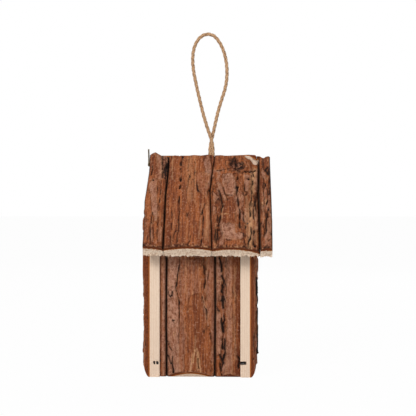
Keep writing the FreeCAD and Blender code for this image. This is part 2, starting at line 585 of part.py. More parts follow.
def make_walls(roof):
    """The two side walls and the two gables, cut to the roof and trimmed at the foot."""
    bevels = foot_bevels()
    _, middle_start, middle_width = wall_row("front")[1]
    entrance = cylinder("entrance", "Sizes.entrance_diameter / 2", REACH,
                        x=f"{FRONT_INNER_X} - Sizes.gable_thickness",
                        y=f"{middle_start} + {middle_width} / 2", z="Sizes.entrance_height")
    entrance.Placement.Rotation = FreeCAD.Rotation(FreeCAD.Vector(0, 1, 0), 90)
    for facing, (along, _, thickness, inner) in WALLS.items():
        bored = [entrance] if facing == "front" else []
        tool = fuse(f"trim_{facing}", [*roof, bevels[facing], *bored])
        for label, start, width in wall_row(facing):
            joints = (not label.endswith("1"), not label.endswith("3"))
            slab = barked_slab(label, facing, width, thickness, "Sizes.ridge_height", joints)
            place = {"x": start, "y": inner} if along[0] else {"x": inner, "y": start}
            keep(cut(label, bind(slab, **place), tool), label)


def make_roof(cord_hole):
    """Two faces of four slabs, mitred, with the ridge planed flat, bored and worn by the cord."""
    above = box("above_ridge", f"2 * {REACH}", f"2 * {REACH}", REACH,
                x=f"-{REACH}", y=f"-{REACH}", z="Sizes.ridge_height")
    worn = above_slopes("cord_wear", "Sizes.cord_wear_slope", "(Sizes.ridge_height - Sizes.cord_wear_drop)",
                        "Sizes.cord_wear_width", f"{CORD_X} - Sizes.cord_wear_width / 2")
    for face, sign in (("a", "-"), ("b", "")):
        past = "-Sizes.mitre_gap / 2" if face == "a" else f"Sizes.mitre_gap / 2 - {REACH}"
        beyond = box(f"beyond_mitre_{face}", f"2 * {REACH}", REACH, f"2 * {REACH}", x=f"-{REACH}", y=past)
        tool = fuse(f"trim_roof_{face}", [above, beyond, cord_hole, *worn])
        for label, start, width in roof_row(face):
            slab = barked_slab(label, f"side_{face}", width, "Sizes.roof_thickness", SLOPE_LENGTH,
                               (True, True))
            tilt(slab, FreeCAD.Vector(1, 0, 0), f"{sign}(90 - Sizes.roof_pitch)")
            bind(slab, x=start, y=sign + ROOF_RUN, z=EAVE_HEIGHT)
            keep(cut(label, slab, tool), label)


# Boards inside the house

def make_inside(roof, cord_hole):
    """The floor, the eave rails and the ridge beam that every slab is stapled to."""
    floor = box("floor", INNER_LENGTH, f"2 * {WALL_INNER_Y}", "Sizes.floor_thickness",
                x=BACK_INNER_X, y=f"-{WALL_INNER_Y}", z="Sizes.floor_height")
    keep(floor, "floor_board")
    under_roof = fuse("under_roof", roof)
    for face, start in (("a", f"-{WALL_INNER_Y}"), ("b", f"{WALL_INNER_Y} - Sizes.rail_width")):
        rail = box(f"rail_{face}", INNER_LENGTH, "Sizes.rail_width", RAIL_BLANK_HEIGHT,
                   x=BACK_INNER_X, y=start, z=RAIL_BOTTOM)
        keep(cut(f"eave_rail_{face}", rail, under_roof), f"eave_rail_{face}")
    beam = box("beam", INNER_LENGTH, "Sizes.beam_width", "Sizes.beam_height",
               x=BACK_INNER_X, y="-Sizes.beam_width / 2", z=BEAM_BOTTOM)
    keep(cut("ridge_beam", beam, fuse("trim_beam", [*roof, cord_hole])), "ridge_beam")


# Cord

def cord_edges(points):
    """Straight runs joined by arcs that are as large as the runs beside them allow."""
    edges, radii, here = [], [], points[0]
    for before, corner, after in zip(points, points[1:], points[2:]):
        arriving, leaving = corner - before, after - corner
        reach = ARC_SHARE * min(arriving.Length, leaving.Length)
        half_turn = arriving.getAngle(leaving) / 2
        radius = reach / math.tan(half_turn)
        radii.append(radius)
        arriving.normalize()
        leaving.normalize()
        into, out_of = corner - arriving * reach, corner + leaving * reach
        to_centre = leaving - arriving
        to_centre.normalize()
        middle = corner + to_centre * (radius / math.cos(half_turn) - radius)
        edges.append(Part.LineSegment(here, into).toShape())
        edges.append(Part.Arc(into, middle, out_of).toShape())
        here = out_of
    edges.append(Part.LineSegment(here, points[-1]).toShape())
    return edges, radii


def make_loop():
    """The free loop of the cord above the ridge, with a rounded end on each leg at the pivot."""
    pivot = FreeCAD.Vector(value(CORD_X), 0, value(PIVOT_HEIGHT))
    leg = FreeCAD.Vector(sheet.cord_spacing / 2, 0, 0)
    points = [pivot + leg, *(pivot + FreeCAD.Vector(*p) for p in CORD_ROUTE), pivot - leg]
    edges, radii = cord_edges(points)
    path = Part.Wire(edges)
    radius = sheet.cord_diameter / 2
    outward = points[1] - points[0]
    section = Part.Wire(Part.makeCircle(radius, points[0], outward))
    tube = path.makePipeShell([section], True, False)
    ends = [
        Part.makeSphere(radius, end, end - inner, 0, 90)
        for end, inner in ((points[0], points[1]), (points[-1], points[-2]))
    ]
    loop = doc.addObject("Part::Feature", "loop")
    loop.Shape = tube.fuse(ends)
    keep(loop, "hanging_loop")
    section_area = math.pi * radius ** 2
    print(f"cord: {path.Length:.1f} mm above the ridge, arc radii {min(radii):.1f} to {max(radii):.1f} mm")
    print(f"cord: tube {tube.Volume:.1f} mm3, section times length {section_area * path.Length:.1f} mm3")


def make_knot():
    """The two legs in the ridge hole, the knot that holds them under the ridge beam and its loose ends."""
    core = cylinder("knot_core", "Sizes.knot_diameter / 2", "Sizes.knot_height",
                    x=CORD_X, z=f"{BEAM_BOTTOM} - Sizes.knot_height")
    rounded = doc.addObject("Part::Fillet", "knot_rounded")
    rounded.Base = core
    doc.recompute()
    rims = [i for i, edge in enumerate(core.Shape.Edges, start=1) if isinstance(edge.Curve, Part.Circle)]
    rounded.Edges = [(i, sheet.knot_round, sheet.knot_round) for i in rims]
    bottom = f"({BEAM_BOTTOM} - Sizes.knot_height - Sizes.knot_tail)"
    top = f"({PIVOT_HEIGHT} - Sizes.cord_diameter - Sizes.leg_gap)"
    legs = []
    for name, sign in (("a", "+"), ("b", "-")):
        x = f"{CORD_X} {sign} Sizes.cord_spacing / 2"
        legs.append(cylinder(f"leg_{name}", "Sizes.cord_diameter / 2", f"{top} - {bottom}", x=x, z=bottom))
        legs.append(bind(doc.addObject("Part::Sphere", f"leg_end_{name}"),
                         Radius="Sizes.cord_diameter / 2", x=x, z=top))
    keep(fuse("knot", [rounded, *legs]), "cord_knot")


# Fasteners

def staple(crown_middle, inward, across):
    """One staple: its crown centred on a point, its legs pointing inward."""
    half, wire, leg = sheet.staple_crown / 2, sheet.staple_wire, sheet.staple_leg
    outline = [
        (-half, 0), (half, 0), (half, -leg), (half - wire, -leg),
        (half - wire, -wire), (wire - half, -wire), (wire - half, -leg), (-half, -leg), (-half, 0),
    ]
    face = Part.Face(Part.makePolygon([FreeCAD.Vector(x, -wire / 2, z) for x, z in outline]))
    solid = face.extrude(FreeCAD.Vector(0, wire, 0))
    turn = FreeCAD.Rotation(across, FreeCAD.Vector(), inward * -1, "ZXY")
    solid.Placement = FreeCAD.Placement(crown_middle, turn)
    return solid


def keep_staples(label, staples):
    group = doc.addObject("Part::Feature", label)
    group.Shape = Part.makeCompound(staples)
    keep(group, label)


def wall_staples(facing, driven):
    """Staples through each slab of a wall, from the place along the wall and the height of each."""
    along, out = (FreeCAD.Vector(*direction, 0) for direction in WALLS[facing][:2])
    thickness, inner = WALLS[facing][2:]
    inner_face = FreeCAD.Vector(abs(out.x), abs(out.y), 0) * value(inner)
    staples = []
    for slab, stops in zip(wall_row(facing), driven):
        label, _, width = slab
        for place, level in stops:
            sunk = bark_height(label, width, thickness, place - slab_middle(slab)) - sheet.staple_sink
            crown = inner_face + along * place + out * sunk
            staples.append(staple(crown + FreeCAD.Vector(0, 0, level), out * -1, along))
    return staples


def roof_staples(face):
    """Staples that hold a roof face: into both gables, the eave rail and the ridge beam, and edge to edge."""
    sign = -1 if face == "a" else 1
    pitch = math.radians(sheet.roof_pitch)
    outward = FreeCAD.Vector(0, sign * math.sin(pitch), math.cos(pitch))
    upward = FreeCAD.Vector(0, -sign * math.cos(pitch), math.sin(pitch))
    along = FreeCAD.Vector(1, 0, 0)
    apex = value(APEX_HEIGHT)
    row = roof_row(face)
    spans = [(value(start), value(f"{start} + {width}")) for _, start, width in row]

    def underside(x, distance):
        """A point under the roof face, at a distance from the ridge line across the house."""
        return FreeCAD.Vector(x, sign * distance, apex - distance * math.tan(pitch))

    def driven(number, x, distance):
        """A staple through a slab's bark, square to the roof face."""
        label, _, width = row[number]
        off_middle = x - sum(spans[number]) / 2
        height = bark_height(label, width, "Sizes.roof_thickness", off_middle)
        crown = underside(x, distance) + outward * (height - sheet.staple_sink)
        return staple(crown, outward * -1, along)

    def shared(number, low, high):
        """How much of a slab lies between two places along the ridge, and the middle of that stretch."""
        start, end = max(spans[number][0], low), min(spans[number][1], high)
        return end - start, (start + end) / 2

    over_gable = value(HALF_DEPTH) - sheet.gable_roof_inset
    over_rail = value(WALL_INNER_Y) - sheet.rail_roof_inset
    over_beam = sheet.beam_width / 2 - sheet.beam_roof_inset
    back, front = value(BACK_INNER_X), value(FRONT_INNER_X)
    supports = [
        (value(BACK_ARRIS_X), back, (over_gable, over_gable - sheet.gable_roof_step)),
        (back, front, (over_rail, over_beam)),
        (front, value(FRONT_ARRIS_X), (over_gable, over_gable - sheet.gable_roof_step)),
    ]
    staples = []
    for low, high, distances in supports:
        for number in range(len(row)):
            length, middle = shared(number, low, high)
            if length > sheet.staple_crown:
                staples += [driven(number, middle, distance) for distance in distances]
    edge = value(ROOF_FRONT_X) - sheet.staple_sink
    for distance in (value(ROOF_RUN) - sheet.edge_staple_inset, sheet.edge_staple_inset):
        crown = underside(edge, distance) + outward * (sheet.roof_thickness / 2)
        staples.append(staple(crown, along * -1, upward))
    return staples


def toe_staples():
    """Slanting staples through the gables' sawn edges into the corners of the floor."""
    slant = math.radians(sheet.toe_staple_angle)
    level = value(FLOOR_MIDDLE)
    sunk = value(HALF_DEPTH) - sheet.staple_sink
    front_x = value(FRONT_INNER_X) + sheet.front_toe_inset
    back_x = value(BACK_INNER_X) - sheet.back_toe_inset
    staples = []
    for x, towards in ((front_x, -1), (back_x, 1)):
        for side in (-1, 1):
            crown = FreeCAD.Vector(x, side * sunk, level)
            inward = FreeCAD.Vector(towards * math.sin(slant), -side * math.cos(slant), 0)
            across = FreeCAD.Vector(math.cos(slant), side * towards * math.sin(slant), 0)
            staples.append(staple(crown, inward, across))
    return staples


def make_staples():
    """Every staple, in one group for each wall, each roof face and the floor."""
    floor = value(FLOOR_MIDDLE)
    rail = value(RAIL_BOTTOM) + sheet.rail_staple_rise
    beam = value(BEAM_BOTTOM) + sheet.beam_height / 2
    above, below = sheet.staple_stagger, -sheet.staple_stagger
    keep_staples("floor_staples", toe_staples())
    for facing in ("side_a", "side_b"):
        middles = [slab_middle(slab) for slab in wall_row(facing)]
        driven = [[(middle, floor + above), (middle, rail)] for middle in middles]
        keep_staples(f"{facing}_staples", wall_staples(facing, driven))
    rail_middle = value(f"{WALL_INNER_Y} - Sizes.rail_width / 2")
    for facing in ("front", "back"):
        driven = [
            [(-rail_middle, floor + below), (-rail_middle, rail + above)],
            [(0, floor + below), (0, beam)],
            [(rail_middle, floor + below), (rail_middle, rail + above)],
        ]
        keep_staples(f"{facing}_staples", wall_staples(facing, driven))
    for face in ("a", "b"):
        keep_staples(f"roof_{face}_staples", roof_staples(face))


def make_brad():
    """A bent brad with its foot in the edge of the back roof slab and its shank standing past the ridge."""
    edge_x, y = value(ROOF_BACK_X), -sheet.brad_setback
    foot_z = sheet.ridge_height - sheet.brad_foot_drop
    bend = sheet.brad_stand_off
    radius = sheet.brad_diameter / 2
    start = FreeCAD.Vector(edge_x + sheet.brad_depth, y, foot_z)
    turn_in = FreeCAD.Vector(edge_x, y, foot_z)
    turn_out = FreeCAD.Vector(edge_x - bend, y, foot_z + bend)
    half = bend * math.sqrt(0.5)
    middle = FreeCAD.Vector(edge_x - half, y, foot_z + bend - half)
    tip = FreeCAD.Vector(edge_x - bend, y, sheet.ridge_height + sheet.brad_rise)
    path = Part.Wire([
        Part.LineSegment(start, turn_in).toShape(),
        Part.Arc(turn_in, middle, turn_out).toShape(),
        Part.LineSegment(turn_out, tip).toShape(),
    ])
    section = Part.Wire(Part.makeCircle(radius, start, turn_in - start))
    brad = doc.addObject("Part::Feature", "brad")
    brad.Shape = path.makePipeShell([section], True, False)
    keep(brad, "bent_brad")


def check_and_write():
    """Stops if anything failed, then writes each piece to its own file."""
    doc.recompute()
    failed = [o.Label for o in doc.Objects if "Invalid" in o.State or "Error" in o.State]
    failed += [o.Label for o in nodes if o.Shape.isNull() or not o.Shape.isValid()]
    if failed:
        raise RuntimeError(f"these objects failed: {sorted(set(failed))}")
    os.makedirs("parts", exist_ok=True)
    for node in nodes:
        node.Shape.exportStep(f"parts/{node.Label}.step")
    print(f"{len(nodes)} pieces, {sum(len(n.Shape.Solids) for n in nodes)} solids")


def main():
    fill_sheet()
    roof = above_slopes("roof_space", "Sizes.roof_pitch", APEX_HEIGHT, f"2 * {REACH}", f"-{REACH}")
    cord_hole = cylinder("cord_hole", CORD_HOLE_RADIUS, REACH, x=CORD_X, z=BEAM_BOTTOM)
    make_walls(roof)
    make_roof(cord_hole)
    make_inside(roof, cord_hole)
    make_loop()
    make_knot()
    make_staples()
    make_brad()
    check_and_write()


main()
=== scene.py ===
"""Dresses the hanging birdhouse: its bark slabs, boards, jute cord and staples, and the studio round them.

Lengths are in millimetres while a piece is worked out, and in metres once it is a mesh.
"""

import logging
import math
from dataclasses import dataclass, field
from enum import Enum
from functools import partial
from typing import Any, ClassVar, Sequence

import bmesh
import bpy
import numpy as np
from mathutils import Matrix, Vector
from mathutils.geometry import tessellate_polygon


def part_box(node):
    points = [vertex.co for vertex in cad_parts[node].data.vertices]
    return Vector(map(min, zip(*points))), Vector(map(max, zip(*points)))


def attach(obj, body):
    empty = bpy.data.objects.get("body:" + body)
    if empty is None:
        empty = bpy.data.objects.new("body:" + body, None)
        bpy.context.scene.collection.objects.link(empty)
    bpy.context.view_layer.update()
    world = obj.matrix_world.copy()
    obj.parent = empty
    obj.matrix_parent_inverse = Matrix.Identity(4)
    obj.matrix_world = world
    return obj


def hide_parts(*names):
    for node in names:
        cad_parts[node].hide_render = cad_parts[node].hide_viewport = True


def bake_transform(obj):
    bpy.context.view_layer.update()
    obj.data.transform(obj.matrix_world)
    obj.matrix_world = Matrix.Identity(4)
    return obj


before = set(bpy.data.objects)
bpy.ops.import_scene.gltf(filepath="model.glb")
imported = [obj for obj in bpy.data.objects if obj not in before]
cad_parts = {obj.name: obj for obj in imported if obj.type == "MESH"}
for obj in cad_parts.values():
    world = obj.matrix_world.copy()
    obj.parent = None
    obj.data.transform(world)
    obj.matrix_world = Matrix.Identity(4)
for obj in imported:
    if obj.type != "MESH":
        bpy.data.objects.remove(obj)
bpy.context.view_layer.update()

LOG = logging.getLogger("birdhouse")
MM = 0.001
Array = np.ndarray
Material = bpy.types.Material
Object = bpy.types.Object
Point = tuple[float, float]
Outline = tuple[Point, ...]
Spot = tuple[float, float, float]
Route = tuple[Spot, ...]
Colour = tuple[float, float, float, float]
Faces = list[tuple[int, ...]]
Inputs = dict[str | int, Any]


def smooth(low: float, high: float, x: Array) -> Array:
    """A smooth step that is 0 up to low and 1 from high on."""
    share = np.clip((x - low) / (high - low), 0.0, 1.0)
    return share * share * (3.0 - 2.0 * share)


def bell(x: Array, width: float | Array) -> Array:
    """A bump that is 1 where x is 0 and has all but gone two widths away."""
    return np.exp(-((x / width) ** 2))


def line_distance(x: Array, y: Array, points: Outline) -> Array:
    """How far places lie from a broken line.

    Args:
        x: The places' first coordinate.
        y: The places' second coordinate.
        points: The corners of the line.

    Returns:
        The distance of each place, in the points' unit.
    """
    best = np.full(x.shape, np.inf)
    for (ax, ay), (bx, by) in zip(points, points[1:]):
        dx, dy = bx - ax, by - ay
        share = np.clip(((x - ax) * dx + (y - ay) * dy) / (dx * dx + dy * dy), 0.0, 1.0)
        best = np.minimum(best, np.hypot(x - ax - share * dx, y - ay - share * dy))
    return best


def within(x: Array, y: Array, points: Outline) -> Array:
    """How far places lie inside a closed outline.

    Args:
        x: The places' first coordinate.
        y: The places' second coordinate.
        points: The corners of the outline.

    Returns:
        The distance to the outline, negative outside it.
    """
    odd = np.zeros(x.shape, bool)
    for (ax, ay), (bx, by) in zip(points, points[1:] + points[:1]):
        if ay != by:
            odd ^= ((ay > y) != (by > y)) & (x < (bx - ax) * (y - ay) / (by - ay) + ax)
    distance = line_distance(x, y, points + points[:1])
    return np.where(odd, distance, -distance)


class Noise:
    """Seeded lattice noise over a plane."""

    SIZE: ClassVar[int] = 256
    OCTAVE_SHIFT: ClassVar[Point] = (17.3, 5.7)

    def __init__(self, seed: int) -> None:
        """Fills the lattice from a seed."""
        self._values = np.random.default_rng(seed).random((self.SIZE, self.SIZE))

    def value(self, x: Array, y: Array) -> Array:
        """Smooth noise between -1 and 1 with a lattice step of 1.

        Args:
            x: First coordinate.
            y: Second coordinate.

        Returns:
            The noise at each place.
        """
        i, j = np.floor(x).astype(int), np.floor(y).astype(int)
        u, v = x - i, y - j
        u, v = u * u * (3.0 - 2.0 * u), v * v * (3.0 - 2.0 * v)
        size = self.SIZE
        corner = [self._values[(i + a) % size, (j + b) % size] for a in (0, 1) for b in (0, 1)]
        low, high = corner[0] * (1.0 - v) + corner[1] * v, corner[2] * (1.0 - v) + corner[3] * v
        return 2.0 * (low * (1.0 - u) + high * u) - 1.0

    def layered(self, x: Array, y: Array, octaves: int = 4) -> Array:
        """Several octaves of noise, each half as large and half as wide.

        Args:
            x: First coordinate.
            y: Second coordinate.
            octaves: How many.

        Returns:
            The noise at each place, mostly between -0.7 and 0.7.
        """
        right, up = self.OCTAVE_SHIFT
        total = np.zeros(np.broadcast(x, y).shape)
        for k in range(octaves):
            total += 0.5**k * self.value(x * 2.0**k + right * k, y * 2.0**k + up * k)
        return total / (2.0 - 0.5 ** (octaves - 1))


# Shader nodes


class Signal:
    """A shader socket that can stand in Python expressions."""

    def __init__(self, shader: "Nodes", socket: bpy.types.NodeSocket) -> None:
        """Keeps the socket and the nodes that it belongs to."""
        self.shader = shader
        self.socket = socket

    def _math(self, operation: str, a: "Signal | float", b: "Signal | float" = 0.0) -> "Signal":
        """One Math node on two values."""
        return self.shader.node("ShaderNodeMath", {"operation": operation}, {0: a, 1: b})

    def __add__(self, other: "Signal | float") -> "Signal":
        """The sum."""
        return self._math("ADD", self, other)

    __radd__ = __add__

    def __sub__(self, other: "Signal | float") -> "Signal":
        """The difference."""
        return self._math("SUBTRACT", self, other)

    def __rsub__(self, other: float) -> "Signal":
        """The difference, from a number."""
        return self._math("SUBTRACT", other, self)

    def __mul__(self, other: "Signal | float") -> "Signal":
        """The product."""
        return self._math("MULTIPLY", self, other)

    __rmul__ = __mul__

    def __truediv__(self, other: "Signal | float") -> "Signal":
        """The quotient."""
        return self._math("DIVIDE", self, other)

    def fraction(self) -> "Signal":
        """What is left over the whole number below."""
        return self._math("FRACT", self)

    def above(self, low: float, high: float) -> "Signal":
        """A smooth step from 0 at low to 1 at high."""
        inputs = {"Value": self, "From Min": low, "From Max": high}
        return self.shader.node("ShaderNodeMapRange", {"interpolation_type": "SMOOTHSTEP"}, inputs)

    def clamp(self) -> "Signal":
        """The value kept between 0 and 1."""
        return self.shader.node("ShaderNodeClamp", {}, {"Value": self})


class Nodes:
    """The nodes of one material or world."""

    SEEING: ClassVar[tuple[str, ...]] = ("Camera", "Glossy", "Transmission")

    def __init__(self, tree: bpy.types.NodeTree) -> None:
        """Starts with an empty tree."""
        self.tree = tree
        self.tree.nodes.clear()

    def feed(self, node: bpy.types.Node, inputs: Inputs) -> None:
        """Sets or links the sockets of a node.

        Args:
            node: The node.
            inputs: A value or a signal for each socket, by name or number.
        """
        for key, given in inputs.items():
            if isinstance(given, Signal):
                self.tree.links.new(given.socket, node.inputs[key])
            else:
                node.inputs[key].default_value = given

    def node(self, kind: str, settings: dict[str, Any], inputs: Inputs, out: str | int = 0) -> Signal:
        """Adds a node.

        Args:
            kind: Its type.
            settings: Its own properties, which are set first.
            inputs: A value or a signal for each socket, by name or number.
            out: The output that is wanted.

        Returns:
            That output.
        """
        made = self.tree.nodes.new(kind)
        for key, setting in settings.items():
            setattr(made, key, setting)
        self.feed(made, inputs)
        return Signal(self, made.outputs[out])

    def node_output(self, kind: str, shade: Signal) -> None:
        """Ends the tree in an output node."""
        self.tree.links.new(shade.socket, self.tree.nodes.new(kind).inputs["Surface"])

    def attribute(self, name: str, out: str) -> Signal:
        """A point attribute of the mesh."""
        return self.node("ShaderNodeAttribute", {"attribute_name": name}, {}, out)

    def parts(self, vector: Signal) -> tuple[Signal, Signal, Signal]:
        """The three numbers of a vector."""
        split = self.node("ShaderNodeSeparateXYZ", {}, {0: vector}).socket.node
        return tuple(Signal(self, output) for output in split.outputs)

    def scaled(self, vector: Signal, scale: Sequence[float]) -> Signal:
        """A vector stretched along its axes."""
        return self.node("ShaderNodeVectorMath", {"operation": "MULTIPLY"}, {0: vector, 1: tuple(scale)})

    def noise(
        self, vector: Signal, scale: Sequence[float], detail: float = 4.0, rough: float = 0.55
    ) -> Signal:
        """Noise between 0 and 1.

        Args:
            vector: Where on the surface, in metres.
            scale: How many lattice steps go into a metre, along each axis.
            detail: Octaves.
            rough: How strong the finer octaves are.

        Returns:
            The noise.
        """
        inputs = {"Vector": self.scaled(vector, scale), "Scale": 1.0, "Detail": detail, "Roughness": rough}
        return self.node("ShaderNodeTexNoise", {}, inputs)

    def mix(self, share: Signal | float, first: Any, second: Any) -> Signal:
        """A colour between two others.

        Args:
            share: 0 for the first and 1 for the second.
            first: A colour or a signal.
            second: A colour or a signal.

        Returns:
            The mixed colour.
        """
        inputs = {0: share, 6: first, 7: second}
        return self.node("ShaderNodeMix", {"data_type": "RGBA", "clamp_factor": True}, inputs, 2)

    def seen(self) -> Signal:
        """1 where the camera looks, by itself or in what shines or is clear, and 0 elsewhere."""
        path = self.node("ShaderNodeLightPath", {}, {}).socket.node
        return sum(Signal(self, path.outputs[f"Is {kind} Ray"]) for kind in self.SEEING).clamp()

    def bump(self, height: Signal, strength: float, distance: float) -> Signal:
        """A normal tilted as if the surface rose by the height times a distance in metres."""
        inputs = {"Height": height, "Strength": strength, "Distance": distance}
        return self.node("ShaderNodeBump", {}, inputs)


class Shader(Nodes):
    """One node material that ends in a Principled BSDF."""

    def __init__(self, name: str) -> None:
        """Makes the material with its two last nodes.

        Args:
            name: The material's name.
        """
        self.material = bpy.data.materials.new(name)
        self.material.use_nodes = True
        super().__init__(self.material.node_tree)
        self.surface = self.tree.nodes.new("ShaderNodeBsdfPrincipled")
        self.node_output("ShaderNodeOutputMaterial", Signal(self, self.surface.outputs[0]))


def srgb(red: int, green: int, blue: int) -> Colour:
    """A colour as shaders take it, from the numbers that a picture shows.

    Args:
        red: From 0 to 255.
        green: From 0 to 255.
        blue: From 0 to 255.

    Returns:
        The linear colour with an opaque last number.
    """
    shares = (channel / 255.0 for channel in (red, green, blue))
    linear = [c / 12.92 if c <= 0.04045 else ((c + 0.055) / 1.055) ** 2.4 for c in shares]
    return (linear[0], linear[1], linear[2], 1.0)


@dataclass(frozen=True)
class BarkFinish:
    """Pine bark with its sawn sections: the cut bark, the orange inner bark and the pale wood under it."""

    fresh: Colour = srgb(166, 95, 54)
    deep: Colour = srgb(104, 52, 30)
    weathered: Colour = srgb(182, 134, 110)
    stained: Colour = srgb(128, 82, 60)
    # ochre: the real pale streaks and flecks, and the painted highlight along plate and flake edges
    ochre: Colour = srgb(206, 156, 112)
    # near black for the painted shade in fissures, cracks, holes, joints and under edges, and for dark
    # flecks
    shade_and_fleck_colour: Colour = srgb(26, 14, 9)
    section: Colour = srgb(130, 66, 34)
    section_dark: Colour = srgb(82, 40, 22)
    inner_bark: Colour = srgb(176, 102, 36)
    wood: Colour = srgb(236, 212, 190)
    late_wood: Colour = srgb(218, 186, 156)
    fuzz: Colour = srgb(255, 234, 210)
    end_grain: Colour = srgb(190, 146, 112)

    def material(self) -> Material:
        """The finish, driven by the slabs' point attributes.

        Returns:
            The material.
        """
        made = Shader("bark_slab")
        grain = made.attribute("grain", "Vector")
        plate, painted_shade_and_flecks, highlight_and_pale_streaks = made.parts(made.attribute("bark", "Vector"))
        below, tone, sawn = made.parts(made.attribute("cut", "Vector"))
        raw, torn, _ = made.parts(made.attribute("wood", "Vector"))
        fibre = made.noise(grain, (1500.0, 55.0, 1500.0), 5.0, 0.6)
        streak = made.noise(grain, (420.0, 16.0, 420.0), 3.0)
        strand = made.noise(grain, (640.0, 30.0, 640.0), 2.0, 0.6)
        speck = made.noise(grain, (950.0, 520.0, 950.0), 6.0, 0.68)
        blotch = made.noise(grain, (330.0, 190.0, 330.0), 5.0, 0.62)
        mottle = made.noise(grain, (110.0, 42.0, 110.0), 4.0)
        dash = made.noise(grain, (620.0, 130.0, 620.0), 3.0, 0.6)
        grit = made.noise(grain, (520.0, 400.0, 520.0), 3.0, 0.7)

        warmth = 0.5 + 0.5 * tone + (fibre - 0.5) * 1.6 + (streak - 0.5) * 1.8 + (strand - 0.5) * 2.1
        face = made.mix((warmth + (mottle - 0.5) * 0.9).clamp(), self.deep, self.fresh)
        scale = made.mix((blotch * 0.7 + speck * 0.3).above(0.42, 0.62), self.weathered, self.stained)
        face = made.mix((plate * (0.5 + 0.8 * mottle)).clamp(), face, scale)
        # painted highlight on plate and flake edges, with the real pale streaks, in ochre
        face = made.mix((highlight_and_pale_streaks * (0.2 + 1.0 * fibre)).clamp(), face, self.ochre)
        face = made.mix(speck.above(0.58, 0.72) * 0.45, face, self.deep)
        face = made.mix(dash.above(0.56, 0.70) * 0.8, face, self.deep)
        face = made.mix((1.0 - dash).above(0.58, 0.74) * 0.5, face, self.ochre)
        face = made.mix(grit.above(0.54, 0.66) * 0.65, face, self.deep)
        face = made.mix((1.0 - grit).above(0.54, 0.68) * 0.55, face, self.weathered)
        # painted shade, with a few dark flecks, in near black
        face = made.mix((painted_shade_and_flecks * (0.85 + 0.6 * speck)).clamp(), face, self.shade_and_fleck_colour)

        ring = ((below / 1.9) + mottle * 0.8).fraction()
        late = (ring.above(0.45, 0.95) * (0.35 + 0.6 * streak)).clamp()
        timber = made.mix(late, self.wood, self.late_wood)
        timber = made.mix(speck.above(0.48, 0.70) * 0.6, timber, self.late_wood)
        timber = made.mix(torn * 0.85, timber, self.fuzz)
        pulled = (blotch * 0.5 + strand * 0.5).above(0.46, 0.60)
        timber = made.mix(torn * pulled * 0.62, timber, self.end_grain)
        layer = made.mix(speck.above(0.35, 0.65), self.section, self.section_dark)
        edge = below + (speck - 0.5) * 0.5
        layer = made.mix(edge.above(-0.8, -0.2), layer, self.inner_bark)
        layer = made.mix(edge.above(0.35, 0.85), layer, timber)
        # painted shade in the staples' dents and on the sawn sides where slabs butt
        layer = made.mix((painted_shade_and_flecks * 1.1).clamp(), layer, self.shade_and_fleck_colour)
        face = made.mix(raw, face, timber)
        colour = made.mix(sawn, face, layer)

        height = fibre * 0.5 + speck * 0.6 + streak * 0.35 - grit * 0.7
        made.feed(made.surface, {
            "Base Color": colour,
            "Roughness": 0.72 + 0.2 * speck,
            "Normal": made.bump(height, 0.6, 0.0007),
            "Specular IOR Level": 0.16,
        })
        return made.material


@dataclass(frozen=True)
class PineFinish:
    """Planed pine boards with their grain along the house."""

    wood: Colour = srgb(236, 214, 184)
    late_wood: Colour = srgb(206, 164, 116)

    def material(self) -> Material:
        """The finish, in the boards' own coordinates.

        Returns:
            The material.
        """
        made = Shader("pine_board")
        place = made.node("ShaderNodeTexCoord", {}, {}, "Object")
        bend = made.noise(place, (9.0, 34.0, 34.0), 2.0)
        _, across, up = made.parts(place)
        fibre = made.noise(place, (40.0, 1300.0, 1300.0), 5.0)
        ring = ((across * 0.75 + up * 0.66) * 260.0 + bend * 2.4).fraction()
        late = ring.above(0.3, 0.92) * (0.4 + 0.6 * fibre)
        colour = made.mix(late.clamp(), self.wood, self.late_wood)
        made.feed(made.surface, {
            "Base Color": colour,
            "Roughness": 0.6 + 0.25 * fibre,
            "Normal": made.bump(fibre + late * 0.4, 0.4, 0.0004),
            "Specular IOR Level": 0.3,
        })
        return made.material


@dataclass(frozen=True)
class JuteFinish:
    """Dry jute fibres that wind along each ply of the cord."""

    pale: Colour = srgb(210, 174, 136)
    tan: Colour = srgb(180, 136, 96)
    # brown: the jute's darker patches, and the painted shade between the plies
    brown: Colour = srgb(124, 84, 54)

    def material(self) -> Material:
        """The finish, driven by where a point lies along and around its ply and by the painted shade between
        the plies.

        Returns:
            The material.
        """
        made = Shader("jute_cord")
        lay = made.attribute("lay", "Vector")
        painted_ply_shade = made.attribute("painted_ply_shade", "Fac")
        fibre = made.noise(lay, (1.0, 1.0, 0.16), 4.0, 0.6)
        patch = made.noise(lay, (0.12, 0.12, 0.05), 2.0)
        colour = made.mix(fibre.above(0.34, 0.66), self.tan, self.pale)
        colour = made.mix(patch.above(0.48, 0.72) * 0.6, colour, self.brown)
        # painted shade between the plies
        colour = made.mix(painted_ply_shade, colour, self.brown)
        made.feed(made.surface, {
            "Base Color": colour,
            "Roughness": 0.8 + 0.15 * fibre,
            "Normal": made.bump(fibre, 0.8, 0.0005),
            "Specular IOR Level": 0.2,
            "Sheen Weight": 0.25,
        })
        return made.material


@dataclass(frozen=True)
class MetalFinish:
    """Dull wire with darker tarnish in patches."""

    name: str
    clean: Colour
    tarnish: Colour
    metallic: float

    def material(self) -> Material:
        """The finish, in the wire's own coordinates.

        Returns:
            The material.
        """
        made = Shader(self.name)
        place = made.node("ShaderNodeTexCoord", {}, {}, "Object")
        patch = made.noise(place, (520.0, 520.0, 260.0), 4.0)
        scratch = made.noise(place, (2200.0, 2200.0, 400.0), 2.0)
        made.feed(made.surface, {
            "Base Color": made.mix(patch.above(0.38, 0.66), self.clean, self.tarnish),
            "Roughness": 0.42 + 0.3 * patch,
            "Normal": made.bump(scratch, 0.25, 0.0002),
            "Metallic": self.metallic,
            "Specular IOR Level": 0.15,
        })
        return made.material


